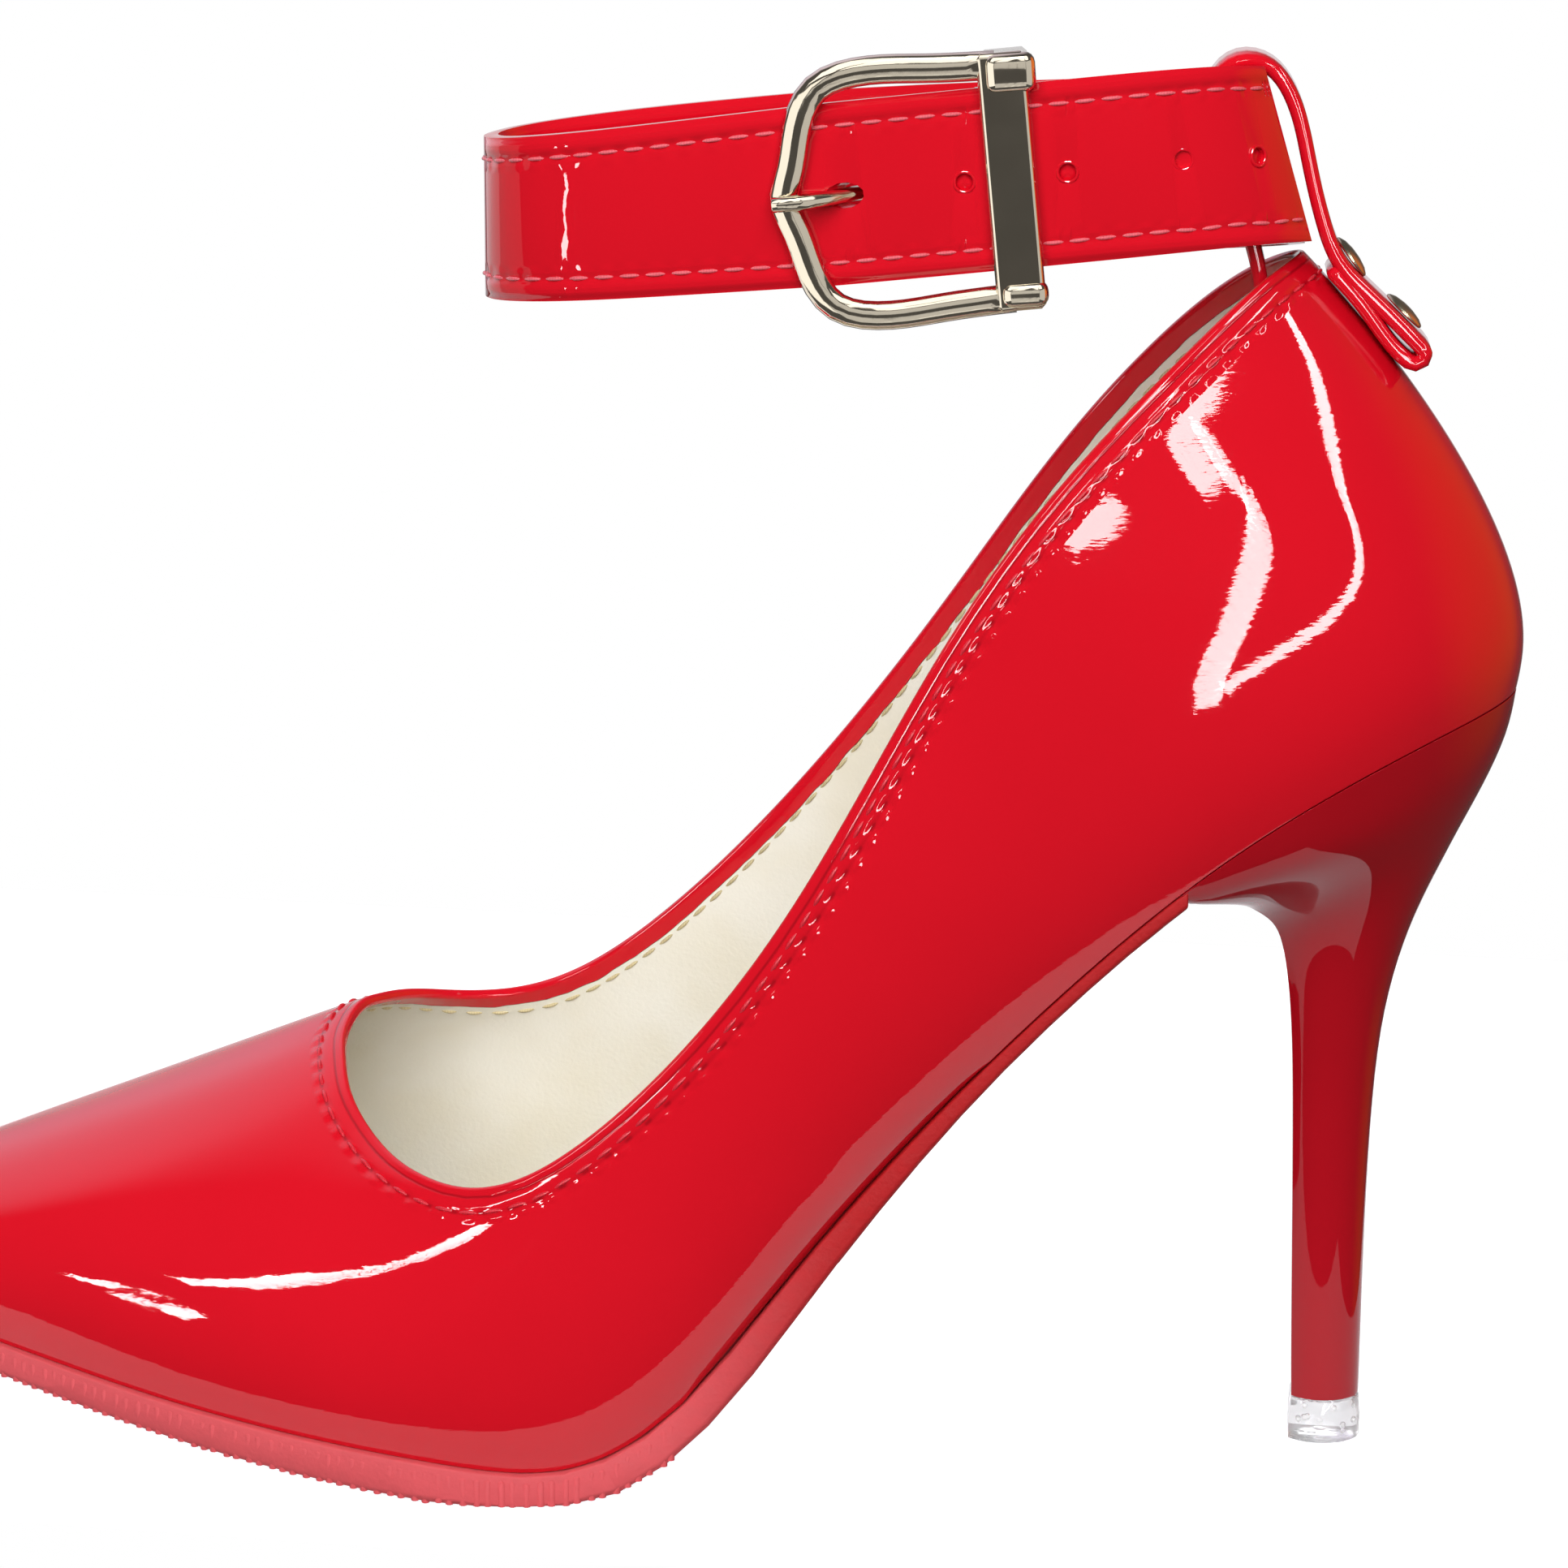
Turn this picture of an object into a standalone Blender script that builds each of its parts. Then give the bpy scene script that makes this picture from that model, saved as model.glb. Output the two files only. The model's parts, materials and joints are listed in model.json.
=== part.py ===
"""Stiletto pump with a buckled ankle strap: a left shoe in red patent leather.

Lengths are in millimetres until a mesh is made. In the working frame x runs from the toe tip to the heel,
y from the outer side (negative) to the inner side (positive), and z up from the floor. At the end the shoe
is moved so that its origin is the middle of its box on the floor.
"""
import math
from collections import namedtuple

import bmesh
import bpy
import numpy as np
from mathutils import Matrix, Vector

MM = 0.001
GAP = 0.3

# Driving dimensions of the shoe
LENGTH = 233.0
BALL_WIDTH = 76.0
HEEL_HEIGHT = 103.0
WALL = 1.6
INSOLE_THICKNESS = 2.0
INSOLE_CLEARANCE = 0.6
SEAT_GAP = 0.4

# The tables below describe the sample last; the driving dimensions grade it
SAMPLE_LENGTH = 233.0
SAMPLE_BALL_WIDTH = 76.0
SAMPLE_HEEL_HEIGHT = 103.0
GRADE_X = LENGTH / SAMPLE_LENGTH
GRADE_Y = BALL_WIDTH / SAMPLE_BALL_WIDTH
GRADE_Z = HEEL_HEIGHT / SAMPLE_HEEL_HEIGHT

# Height of the feather edge, where the upper meets the sole, along the shoe
Feather = namedtuple("Feather", "x z")
FEATHER_PROFILE = (
    Feather(0.0, 19.5),
    Feather(36.0, 14.0),
    Feather(60.0, 10.4),
    Feather(82.0, 7.5),
    Feather(100.0, 5.4),
    Feather(112.0, 4.7),
    Feather(122.0, 8.0),
    Feather(132.0, 17.2),
    Feather(142.0, 29.8),
    Feather(154.0, 44.0),
    Feather(174.0, 65.2),
    Feather(190.0, 80.2),
    Feather(206.0, 92.0),
    Feather(220.0, 99.0),
    Feather(233.0, 103.0),
)

# Wall of the upper, one row for each column of the last: foot point on the feather edge, top point on the
# collar, then how the wall leaves the foot (lean outwards from upright, length of that rise) and how it
# leaves the collar (pitch below level, length of that fall)
Section = namedtuple("Section", "foot_x foot_y top_x top_y top_z lean rise pitch fall")
WALL_SECTIONS = (
    # Toe tip and outer side of the vamp
    Section(1.5, 3.0, 79.0, 1.5, 51.4, 25.0, 7.0, 21.0, 50.0),
    Section(9.0, -8.0, 79.9, -4.5, 50.2, 22.0, 9.0, 22.0, 45.0),
    Section(30.0, -18.5, 82.0, -12.0, 47.4, 20.0, 14.0, 24.0, 30.0),
    Section(58.0, -29.5, 87.0, -20.0, 43.4, 18.0, 14.0, 30.0, 18.0),
    Section(85.0, -36.0, 95.0, -28.0, 40.9, 22.0, 11.0, 45.0, 13.0),
    # Outer side of the ball and the waist
    Section(108.0, -36.8, 108.0, -33.0, 43.0, 24.0, 10.0, 62.0, 13.0),
    Section(128.0, -31.5, 125.0, -33.0, 56.8, 28.0, 10.0, 74.0, 15.0),
    Section(150.0, -25.5, 143.0, -31.0, 80.8, 32.0, 11.0, 78.0, 18.0),
    Section(172.0, -23.5, 159.0, -28.5, 110.0, 32.0, 13.0, 78.0, 22.0),
    # Round the counter, with the middle of the back in the fourth row
    Section(192.0, -24.5, 174.0, -26.0, 131.8, 30.0, 14.0, 74.0, 22.0),
    Section(210.0, -23.8, 188.0, -20.5, 146.6, 24.0, 16.0, 64.0, 21.0),
    Section(225.0, -14.5, 198.5, -10.5, 155.6, 20.0, 16.0, 51.0, 21.0),
    Section(232.3, 0.0, 203.2, 0.0, 158.1, 20.0, 15.0, 45.0, 22.0),
    Section(225.0, 14.0, 198.5, 10.0, 155.6, 20.0, 16.0, 51.0, 21.0),
    Section(210.0, 23.0, 188.0, 19.5, 146.8, 24.0, 16.0, 64.0, 21.0),
    Section(192.0, 22.0, 174.0, 24.5, 130.8, 30.0, 15.0, 74.0, 22.0),
    # Inner side of the waist and the ball
    Section(172.0, 19.0, 159.0, 26.5, 109.4, 34.0, 15.0, 79.0, 22.0),
    Section(150.0, 18.0, 143.0, 27.5, 87.6, 36.0, 14.0, 82.0, 18.0),
    Section(128.0, 24.5, 125.0, 29.5, 67.2, 32.0, 13.0, 80.0, 17.0),
    Section(108.0, 34.0, 108.0, 32.0, 53.2, 24.0, 12.0, 70.0, 15.0),
    # Inner side of the vamp, back to the toe tip
    Section(86.0, 38.0, 95.0, 31.0, 49.2, 20.0, 12.0, 50.0, 15.0),
    Section(60.0, 33.0, 85.5, 24.0, 51.0, 17.0, 16.0, 32.0, 19.0),
    Section(32.0, 22.5, 81.0, 15.0, 52.6, 20.0, 14.0, 24.0, 31.0),
    Section(10.0, 13.0, 79.2, 8.0, 52.6, 22.0, 9.0, 22.0, 45.0),
)
COLUMNS_PER_SECTION = 4
WALL_ROWS = 10
FOOT_DIRECTION_WEIGHT = 20.0
PLAN_STEP = 0.2
SHARE_STEP = 0.01

# Outsole: thickness square to the foot, and how far its edge stands proud of the upper
Sole = namedtuple("Sole", "x thickness proud")
SOLE_PROFILE = (
    Sole(0.0, 4.0, 0.8),
    Sole(40.0, 4.3, 0.8),
    Sole(75.0, 5.0, 0.8),
    Sole(112.0, 5.0, 0.8),
    Sole(130.0, 4.4, 0.5),
    Sole(145.0, 3.6, 0.2),
    Sole(160.0, 2.4, 0.0),
    Sole(190.0, 1.8, 0.0),
)
SOLE_END_X = 189.7
SOLE_EDGE_ROUND = 0.7
SOLE_SIDE_SHARE = 0.8
END_MARGIN = 2.0

# Heel: one row for each section from the seat down; front and back points on the middle line, half width,
# and how much of the seat's outline the section keeps (1 all, 0 the stem's own outline)
Cut = namedtuple("Cut", "front_x front_z back_x back_z half_width seat_share")
HEEL_SECTIONS = (
    Cut(190.0, 77.0, 231.6, 97.0, 22.9, 1.0),
    Cut(194.6, 76.4, 228.8, 90.2, 19.2, 0.85),
    Cut(199.0, 75.2, 225.6, 83.8, 14.8, 0.55),
    Cut(201.9, 72.8, 223.4, 79.0, 11.9, 0.3),
    Cut(203.2, 69.6, 221.6, 75.0, 10.0, 0.16),
    Cut(204.2, 63.8, 219.2, 69.0, 8.1, 0.06),
    Cut(204.9, 56.0, 216.8, 59.4, 6.6, 0.0),
    Cut(205.3, 46.0, 215.7, 47.6, 5.6, 0.0),
    Cut(205.7, 30.0, 215.3, 30.4, 5.0, 0.0),
    Cut(206.0, 16.0, 215.3, 16.0, 4.7, 0.0),
    Cut(206.3, 5.9, 215.3, 5.9, 4.5, 0.0),
)
SEAT_FRONT_X = 190.0
HEEL_SIDE_COLUMNS = 14
HEEL_FRONT_COLUMNS = 5
STEM_FRONT_ANGLE = 140.0
TIP_HEIGHT = 5.6
TIP_FLARE = 0.25

# Ankle strap: a strip that runs from the buckle bar round the ankle and back through the buckle
STRAP_WIDTH = 22.4
STRAP_THICKNESS = 1.8
STRAP_SAMPLES = 160
STRAP_HEIGHT = 163.8
STRAP_HEIGHT_AT_X = 126.0
STRAP_HEIGHT_AT_Y = -16.0
STRAP_CLIMB = 0.107
STRAP_ROLL = 0.15
STRAP_ROLL_POWER = 2.0
STRAP_FRONT_TAPER = 0.9
STRAP_TAPER_SPAN = 45.0
STRAP_LEAN = 0.31
STRAP_LEAN_POWER = 2.5
STRAP_FRONT_X = 100.0
STRAP_BACK_X = 202.0
WRAP_GAP = 0.5
Plan = namedtuple("Plan", "x y")
STRAP_RETURN = (Plan(178.5, -13.35), Plan(172.5, -11.3))
STRAP_BACK_RUN = (
    Plan(173.5, -15.5),
    Plan(182.0, -15.2),
    Plan(190.4, -13.1),
    Plan(195.8, -9.8),
    Plan(198.4, -6.3),
)
STRAP_ROUND = (
    Plan(199.3, -1.0),
    Plan(197.7, 4.8),
    Plan(192.0, 9.0),
    Plan(181.0, 11.5),
    Plan(155.0, 13.2),
    Plan(128.0, 13.5),
    Plan(112.0, 12.0),
    Plan(103.4, 7.4),
    Plan(100.4, -1.0),
    Plan(103.2, -9.2),
    Plan(112.0, -14.6),
    Plan(126.0, -16.5),
    Plan(146.0, -17.4),
)
STRAP_HOLE_X = (161.3, 173.9, 187.9)
STRAP_HOLE_RADIUS = 1.25
HOLE_SIDES = 12
HOLE_CUT_LENGTH = 6.0
PRONG_CUT_LENGTH = 9.0

# Buckle, in its own plane: a along the strap, b up; y across it in the shoe's frame
BUCKLE_X = 153.8
BUCKLE_Z = 166.6
BUCKLE_TILT = 6.0
WIRE_HALF_WIDTH = 1.8
WIRE_HALF_DEPTH = 1.3
WIRE_SIDES = 10
FRAME_Y = -19.75
Bend = namedtuple("Bend", "a b")
FRAME_BENDS = (
    Bend(12.6, 14.2),
    Bend(4.0, 14.6),
    Bend(-4.5, 14.9),
    Bend(-9.6, 13.2),
    Bend(-12.2, 8.6),
    Bend(-13.6, 3.4),
    Bend(-14.6, 0.0),
    Bend(-13.6, -3.4),
    Bend(-12.2, -8.6),
    Bend(-9.6, -13.2),
    Bend(-4.5, -14.9),
    Bend(4.0, -14.6),
    Bend(12.6, -14.2),
)
FRAME_SAMPLES = 44
KEEPER_A = (10.4, 16.4)
KEEPER_HALF_HEIGHT = 15.7
KEEPER_BLOCK = 2.4
KEEPER_Y = (-21.3, -18.85)
BLOCK_Y = (-21.0, -11.2)
KEEPER_BEVEL = 0.6
BLOCK_INSET = 0.1
BAR_A = 12.8
BAR_Y = -12.95
BAR_RADIUS = 1.2
BAR_SIDES = 12
BAR_END_INSET = 1.2

PRONG_RADIUS = 0.95
PRONG_SIDES = 8
PRONG_SAMPLES = 30
PRONG_UNDER = Plan(150.2, -15.35)
PRONG_OVER = Plan(142.2, -21.9)
PRONG_TIP = Plan(138.0, -22.35)
PRONG_HOLE_RADIUS = 1.6
PRONG_SLOT_HALF = 1.5
PRONG_SLOT_FRONT = 5.0
PRONG_SLOT_BACK = 4.5
PRONG_SLOT_DEPTH = 5.5
PRONG_LEAVES_BAR = 5.5

# Back loop that ties the strap to the counter, in the middle plane, and its two snap caps
LOOP_WIDTH = 11.0
LOOP_THICKNESS = 1.1
LOOP_SAMPLES = 100
LOOP_FOLD_RADIUS = 1.4
LOOP_INNER_RUN = (Plan(198.4, 149.0), Plan(197.6, 156.0), Plan(195.8, 162.0), Plan(192.0, 174.8))
LOOP_OVER_TOP = (Plan(191.6, 178.9), Plan(194.0, 181.5), Plan(197.7, 181.3))
LOOP_OUTER_RUN = (Plan(201.1, 177.4), Plan(203.4, 169.8), Plan(205.6, 161.6))
Seat = namedtuple("Seat", "share lift")
LOOP_SEAT = (Seat(0.95, 2.5), Seat(0.85, 2.5), Seat(0.74, 3.45))
LOOP_RETURN_END = 0.94
SNAP_X = (207.9, 214.6)
SNAP_RADIUS = 3.0
SNAP_LIFT = 0.6
SNAP_HEIGHT = 1.0
SNAP_SIDES = 16
Dome = namedtuple("Dome", "radius_share height_share")
SNAP_DOME = (Dome(1.0, 0.0), Dome(1.0, 0.4), Dome(0.7, 0.8), Dome(0.3, 1.0))


def clear_scene():
    for obj in list(bpy.data.objects):
        bpy.data.objects.remove(obj, do_unlink=True)


def finish(name, colour, roughness, metallic=0.0, transmission=0.0, coat=0.0):
    """A Principled material for one piece."""
    material = bpy.data.materials.new(name)
    material.use_nodes = True
    shader = material.node_tree.nodes["Principled BSDF"]
    shader.inputs["Base Color"].default_value = (*colour, 1.0)
    shader.inputs["Roughness"].default_value = roughness
    shader.inputs["Metallic"].default_value = metallic
    shader.inputs["Transmission Weight"].default_value = transmission
    shader.inputs["Coat Weight"].default_value = coat
    return material


def solid(name, points, faces, material, smooth_angle=40.0):
    """A closed mesh object from millimetre points, with its faces turned outwards."""
    mesh = bpy.data.meshes.new(name)
    form = bmesh.new()
    verts = [form.verts.new(Vector(point) * MM) for point in points]
    for face in faces:
        form.faces.new([verts[i] for i in face])
    bmesh.ops.recalc_face_normals(form, faces=form.faces)
    form.to_mesh(mesh)
    form.free()
    mesh.shade_smooth()
    mesh.set_sharp_from_angle(angle=math.radians(smooth_angle))
    mesh.materials.append(material)
    obj = bpy.data.objects.new(name, mesh)
    bpy.context.collection.objects.link(obj)
    return obj


def spline(knots, values, closed=False):
    """A cubic spline with an even curvature through rows of values; closed repeats the first row."""
    knots = np.asarray(knots, float)
    values = np.asarray(values, float)
    if closed:
        values = values[:-1]
    steps = np.diff(knots)
    count = len(values)
    system = np.zeros((count, count))
    right = np.zeros((count, values.shape[1]))
    for i in range(count):
        if not closed and i in (0, count - 1):
            system[i, i] = 1.0
            continue
        before = steps[i - 1]
        after = steps[i]
        here = values[i]
        ahead = values[(i + 1) % count]
        behind = values[i - 1]
        system[i, i - 1] += before
        system[i, i] += 2.0 * (before + after)
        system[i, (i + 1) % count] += after
        right[i] = 6.0 * ((ahead - here) / after - (here - behind) / before)
    bends = np.linalg.solve(system, right)
    if closed:
        values = np.vstack([values, values[:1]])
        bends = np.vstack([bends, bends[:1]])

    def at(t):
        i = int(np.clip(np.searchsorted(knots, t, side="right") - 1, 0, len(steps) - 1))
        step = steps[i]
        left = (knots[i + 1] - t) / step
        rest = 1.0 - left
        curve = (left**3 - left) * bends[i] + (rest**3 - rest) * bends[i + 1]
        return left * values[i] + rest * values[i + 1] + curve * step * step / 6.0

    return at


def path_through(points, samples):
    """Evenly spread points on a smooth curve through the given ones."""
    points = np.asarray(points, float)
    knots = np.concatenate([[0.0], np.cumsum(np.linalg.norm(np.diff(points, axis=0), axis=1))])
    curve = spline(knots, points)
    return np.array([curve(t) for t in np.linspace(0.0, knots[-1], samples)])


def ring_faces(first, second, count):
    """Quads between two closed rings of points that start at the given numbers."""
    faces = []
    for i in range(count):
        j = (i + 1) % count
        faces.append((first + i, first + j, second + j, second + i))
    return faces


def cross_strips(start, count):
    """Quads across a closed outline, from each point to its partner on the other side."""
    faces = []
    for i in range(count // 2):
        left = (start + i, start + i + 1)
        right = (start + (count - i) % count, start + count - i - 1)
        face = [left[0], left[1], right[1], right[0]]
        faces.append(tuple(dict.fromkeys(face)))
    return faces


# Profiles along the shoe
feather_curve = spline(
    [row.x * GRADE_X for row in FEATHER_PROFILE],
    [[row.z * GRADE_Z] for row in FEATHER_PROFILE],
)
sole_curve = spline(
    [row.x * GRADE_X for row in SOLE_PROFILE],
    [[row.thickness, row.proud] for row in SOLE_PROFILE],
)


def feather_z(x):
    return float(feather_curve(x)[0])


def feather_slope(x):
    step = 0.5
    return math.atan2(feather_z(x + step) - feather_z(x - step), 2.0 * step)


# The last: a wall column for every step round the foot
def last_columns():
    """Foot points, outward directions and the four handles of each wall column, round the shoe."""
    rows = []
    for row in WALL_SECTIONS:
        rows.append((
            row.foot_x * GRADE_X, row.foot_y * GRADE_Y, row.top_x * GRADE_X, row.top_y * GRADE_Y,
            row.top_z * GRADE_Z, row.lean, row.rise, row.pitch, row.fall,
        ))
    rows = np.array(rows + rows[:1])
    spans = np.linalg.norm(np.diff(rows[:, :2], axis=0), axis=1)
    knots = np.concatenate([[0.0], np.cumsum(spans)])
    curve = spline(knots, rows, closed=True)
    columns = []
    for i in range(len(WALL_SECTIONS)):
        for part in range(COLUMNS_PER_SECTION):
            t = knots[i] + spans[i] * part / COLUMNS_PER_SECTION
            here = curve(t)
            ahead = curve((t + PLAN_STEP) % knots[-1])
            along = ahead[:2] - here[:2]
            outward = np.array([-along[1], along[0]]) / -np.linalg.norm(along)
            columns.append(wall_handles(here, outward))
    return columns


Column = namedtuple("Column", "foot outward handles")


def wall_handles(row, outward):
    """The Bezier handles of one wall column from its section values."""
    row = Section(*row)
    foot = np.array([row.foot_x, row.foot_y, feather_z(row.foot_x)])
    top = np.array([row.top_x, row.top_y, row.top_z])
    lean = math.radians(row.lean)
    pitch = math.radians(row.pitch)
    up = np.array([0.0, 0.0, 1.0])
    out = np.array([outward[0], outward[1], 0.0])
    spread = out * FOOT_DIRECTION_WEIGHT + np.array([foot[0] - top[0], foot[1] - top[1], 0.0])
    spread = spread / np.linalg.norm(spread)
    low = foot + row.rise * (out * math.sin(lean) + up * math.cos(lean))
    high = top + row.fall * (spread * math.cos(pitch) - up * math.sin(pitch))
    return Column(foot, out, (foot, low, high, top))


def bezier(handles, t):
    p0, p1, p2, p3 = handles
    s = 1.0 - t
    return s**3 * p0 + 3.0 * s * s * t * p1 + 3.0 * s * t * t * p2 + t**3 * p3


def build_upper(columns, material):
    """The hollow upper: outer wall, inner wall one leather thickness in, collar rim and feather rim."""
    count = len(columns)
    outer = np.array([[bezier(c.handles, r / WALL_ROWS) for c in columns] for r in range(WALL_ROWS + 1)])
    along = np.roll(outer, -1, axis=1) - np.roll(outer, 1, axis=1)
    rise = np.gradient(outer, axis=0)
    normals = np.cross(rise, along)
    normals /= np.linalg.norm(normals, axis=2, keepdims=True)
    outward = np.array([c.outward for c in columns])
    if np.sum(normals[1] * outward) < 0.0:
        normals = -normals
    inner = outer - WALL * normals
    inner[0] = outer[0] - WALL * outward
    for i in range(count):
        inner[0, i, 2] = feather_z(inner[0, i, 0])
    points = np.vstack([outer.reshape(-1, 3), inner.reshape(-1, 3)])
    inner_start = (WALL_ROWS + 1) * count
    faces = []
    for r in range(WALL_ROWS):
        faces += ring_faces(r * count, (r + 1) * count, count)
        faces += ring_faces(inner_start + r * count, inner_start + (r + 1) * count, count)
    faces += ring_faces(0, inner_start, count)
    faces += ring_faces(WALL_ROWS * count, inner_start + WALL_ROWS * count, count)
    return solid("upper", points, faces, material)


def build_insole(columns, material):
    """A thin board inside the wall, following the foot from toe to seat."""
    inset = WALL + INSOLE_CLEARANCE
    low = []
    high = []
    for column in columns:
        x, y, _ = column.foot - inset * column.outward
        slope = feather_slope(x)
        z = feather_z(x)
        low.append((x, y, z))
        high.append((x - INSOLE_THICKNESS * math.sin(slope), y, z + INSOLE_THICKNESS * math.cos(slope)))
    count = len(columns)
    faces = ring_faces(0, count, count) + cross_strips(0, count) + cross_strips(count, count)
    return solid("insole", low + high, faces, material)


def sole_outline(columns):
    """Foot columns in front of the heel, outer side from the back to the toe and on to the inner side."""
    half = len(columns) // 2
    outer_side = [c for c in columns[:half] if c.foot[0] < SOLE_END_X - END_MARGIN]
    inner_side = [c for c in columns[half:] if c.foot[0] < SOLE_END_X - END_MARGIN]
    return outer_side, inner_side


def build_outsole(columns, material):
    """The outsole from the toe to the heel lip, with a flat tread under the ball."""
    outer_side, inner_side = sole_outline(columns)
    end_outer = foot_point_at(columns, SOLE_END_X, -1)
    end_inner = foot_point_at(columns, SOLE_END_X, 1)
    outline = [(c.foot, c.outward) for c in outer_side]
    outline += [end_outer, end_inner]
    outline += [(c.foot, c.outward) for c in inner_side]
    rings = [[], [], []]
    for foot, outward in outline:
        thickness, proud = sole_curve(min(foot[0], SAMPLE_LENGTH))
        x, y, _ = foot + proud * outward
        slope = feather_slope(x)
        for ring, (share, inset) in enumerate(((0.0, 0.0), (SOLE_SIDE_SHARE, 0.0), (1.0, SOLE_EDGE_ROUND))):
            depth = SEAT_GAP + share * thickness
            px, py, _ = np.array([x, y, 0.0]) - inset * outward
            z = feather_z(x) - depth * math.cos(slope)
            lower_x = px + depth * math.sin(slope)
            if lower_x > SOLE_END_X:
                z = feather_z(SOLE_END_X - depth * math.sin(slope)) - depth * math.cos(slope)
                lower_x = SOLE_END_X
            rings[ring].append((lower_x, py, max(z, 0.0)))
    count = len(outline)
    points = rings[0] + rings[1] + rings[2]
    faces = ring_faces(0, count, count) + ring_faces(count, 2 * count, count)
    faces += cross_strips(0, count) + cross_strips(2 * count, count)
    return solid("outsole", points, faces, material)


def foot_point_at(columns, x, side):
    """The feather edge at a given x on the outer (-1) or inner (1) side, with its outward direction."""
    feet = [c for c in columns if c.foot[1] * side > 0.0]
    feet.sort(key=lambda c: c.foot[0])
    for a, b in zip(feet, feet[1:]):
        if a.foot[0] <= x <= b.foot[0]:
            share = (x - a.foot[0]) / (b.foot[0] - a.foot[0])
            foot = a.foot + share * (b.foot - a.foot)
            foot[2] = feather_z(x)
            return foot, a.outward
    raise ValueError("no feather edge at this x")


def seat_outline(columns):
    """The seat of the heel under the upper: outer front corner, round the back, inner front corner."""
    back = [c.foot for c in columns if c.foot[0] > SEAT_FRONT_X + END_MARGIN]
    start, _ = foot_point_at(columns, SEAT_FRONT_X, -1)
    end, _ = foot_point_at(columns, SEAT_FRONT_X, 1)
    return path_through(np.array([start] + back + [end])[:, :2], 2 * HEEL_SIDE_COLUMNS + 1)


def stem_outline(share):
    """The stem's own outline in unit measures: depth from 0 (front) to 1 (back), width from -1 to 1."""
    front = math.radians(STEM_FRONT_ANGLE)
    angle = front * (2.0 * share - 1.0)
    depth = (math.cos(angle) - math.cos(front)) / (1.0 - math.cos(front))
    return depth, math.sin(angle)


def heel_ring(cut, seat):
    """One section of the heel between the seat's outline and the stem's."""
    ring = []
    seat_front = SEAT_FRONT_X
    seat_back = seat[:, 0].max()
    seat_half = np.abs(seat[:, 1]).max()
    last = len(seat) - 1
    for i, (x, y) in enumerate(seat):
        depth, width = stem_outline(i / last)
        depth += cut.seat_share * ((x - seat_front) / (seat_back - seat_front) - depth)
        width += cut.seat_share * (y / seat_half - width)
        ring.append((
            cut.front_x + depth * (cut.back_x - cut.front_x),
            width * cut.half_width,
            cut.front_z + depth * (cut.back_z - cut.front_z),
        ))
    return ring + front_points(ring[-1], ring[0])


def front_points(start, end):
    """Points across the front of a heel section, from its inner to its outer corner."""
    start = np.array(start)
    end = np.array(end)
    shares = [(i + 1) / (HEEL_FRONT_COLUMNS + 1) for i in range(HEEL_FRONT_COLUMNS)]
    return [tuple(start + share * (end - start)) for share in shares]


def build_heel(columns, material):
    """The heel: a seat under the counter, a lip under the waist and a slim stem."""
    seat = seat_outline(columns)
    top = [(x, y, feather_z(x) - SEAT_GAP) for x, y in seat]
    rings = [top + front_points(top[-1], top[0])]
    rings += [heel_ring(cut, seat) for cut in HEEL_SECTIONS]
    count = len(rings[0])
    points = [point for ring in rings for point in ring]
    faces = []
    for r in range(len(rings) - 1):
        faces += ring_faces(r * count, (r + 1) * count, count)
    faces += lip_strips(0, len(seat), count)
    faces += lip_strips((len(rings) - 1) * count, len(seat), count)
    return solid("heel", points, faces, material)


def lip_strips(start, sides, count):
    """Faces that close a heel section: strips across it, the first one with the points of its front edge."""
    faces = [tuple([start, start + 1, start + sides - 2] + list(range(start + sides - 1, start + count)))]
    for i in range(1, sides // 2):
        face = (start + i, start + i + 1, start + sides - 2 - i, start + sides - 1 - i)
        faces.append(tuple(dict.fromkeys(face)))
    return faces


def build_heel_tip(columns, material):
    """The top piece under the stem, a little wider than it, flat on the floor."""
    seat = seat_outline(columns)
    stem = HEEL_SECTIONS[-1]
    rings = []
    for z, flare in ((TIP_HEIGHT, 0.0), (TIP_HEIGHT / 2.0, TIP_FLARE), (0.0, TIP_FLARE)):
        cut = stem._replace(
            front_x=stem.front_x - flare, back_x=stem.back_x + flare,
            front_z=z, back_z=z, half_width=stem.half_width + flare,
        )
        rings.append(heel_ring(cut, seat))
    count = len(rings[0])
    points = [point for ring in rings for point in ring]
    faces = ring_faces(0, count, count) + ring_faces(count, 2 * count, count)
    faces += lip_strips(0, len(seat), count) + lip_strips(2 * count, len(seat), count)
    return solid("heel_tip", points, faces, material)


# Ankle strap
def strap_mid_z(x, y):
    level = STRAP_HEIGHT + STRAP_CLIMB * (x - STRAP_HEIGHT_AT_X)
    roll = STRAP_ROLL * max(strap_share(x), 0.0)**STRAP_ROLL_POWER
    return level - roll * (y - STRAP_HEIGHT_AT_Y)


def strap_share(x):
    """How far back along the strap a point is: 0 at the front bend, 1 at the back bend."""
    return (x - STRAP_FRONT_X) / (STRAP_BACK_X - STRAP_FRONT_X)


def strap_half_width(x):
    share = min(max((x - STRAP_FRONT_X) / STRAP_TAPER_SPAN, 0.0), 1.0)
    return STRAP_WIDTH / 2.0 * (STRAP_FRONT_TAPER + (1.0 - STRAP_FRONT_TAPER) * share)


def strap_up(x):
    """The strap's own upward direction, which leans forward towards the back of the ankle."""
    share = max(strap_share(x), 0.0)
    up = np.array([-STRAP_LEAN * share**STRAP_LEAN_POWER, 0.0, 1.0])
    return up / np.linalg.norm(up)


def bar_centre():
    """The buckle bar's place in plan."""
    return np.array([BUCKLE_X + BAR_A * math.cos(math.radians(BUCKLE_TILT)), BAR_Y])


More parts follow.
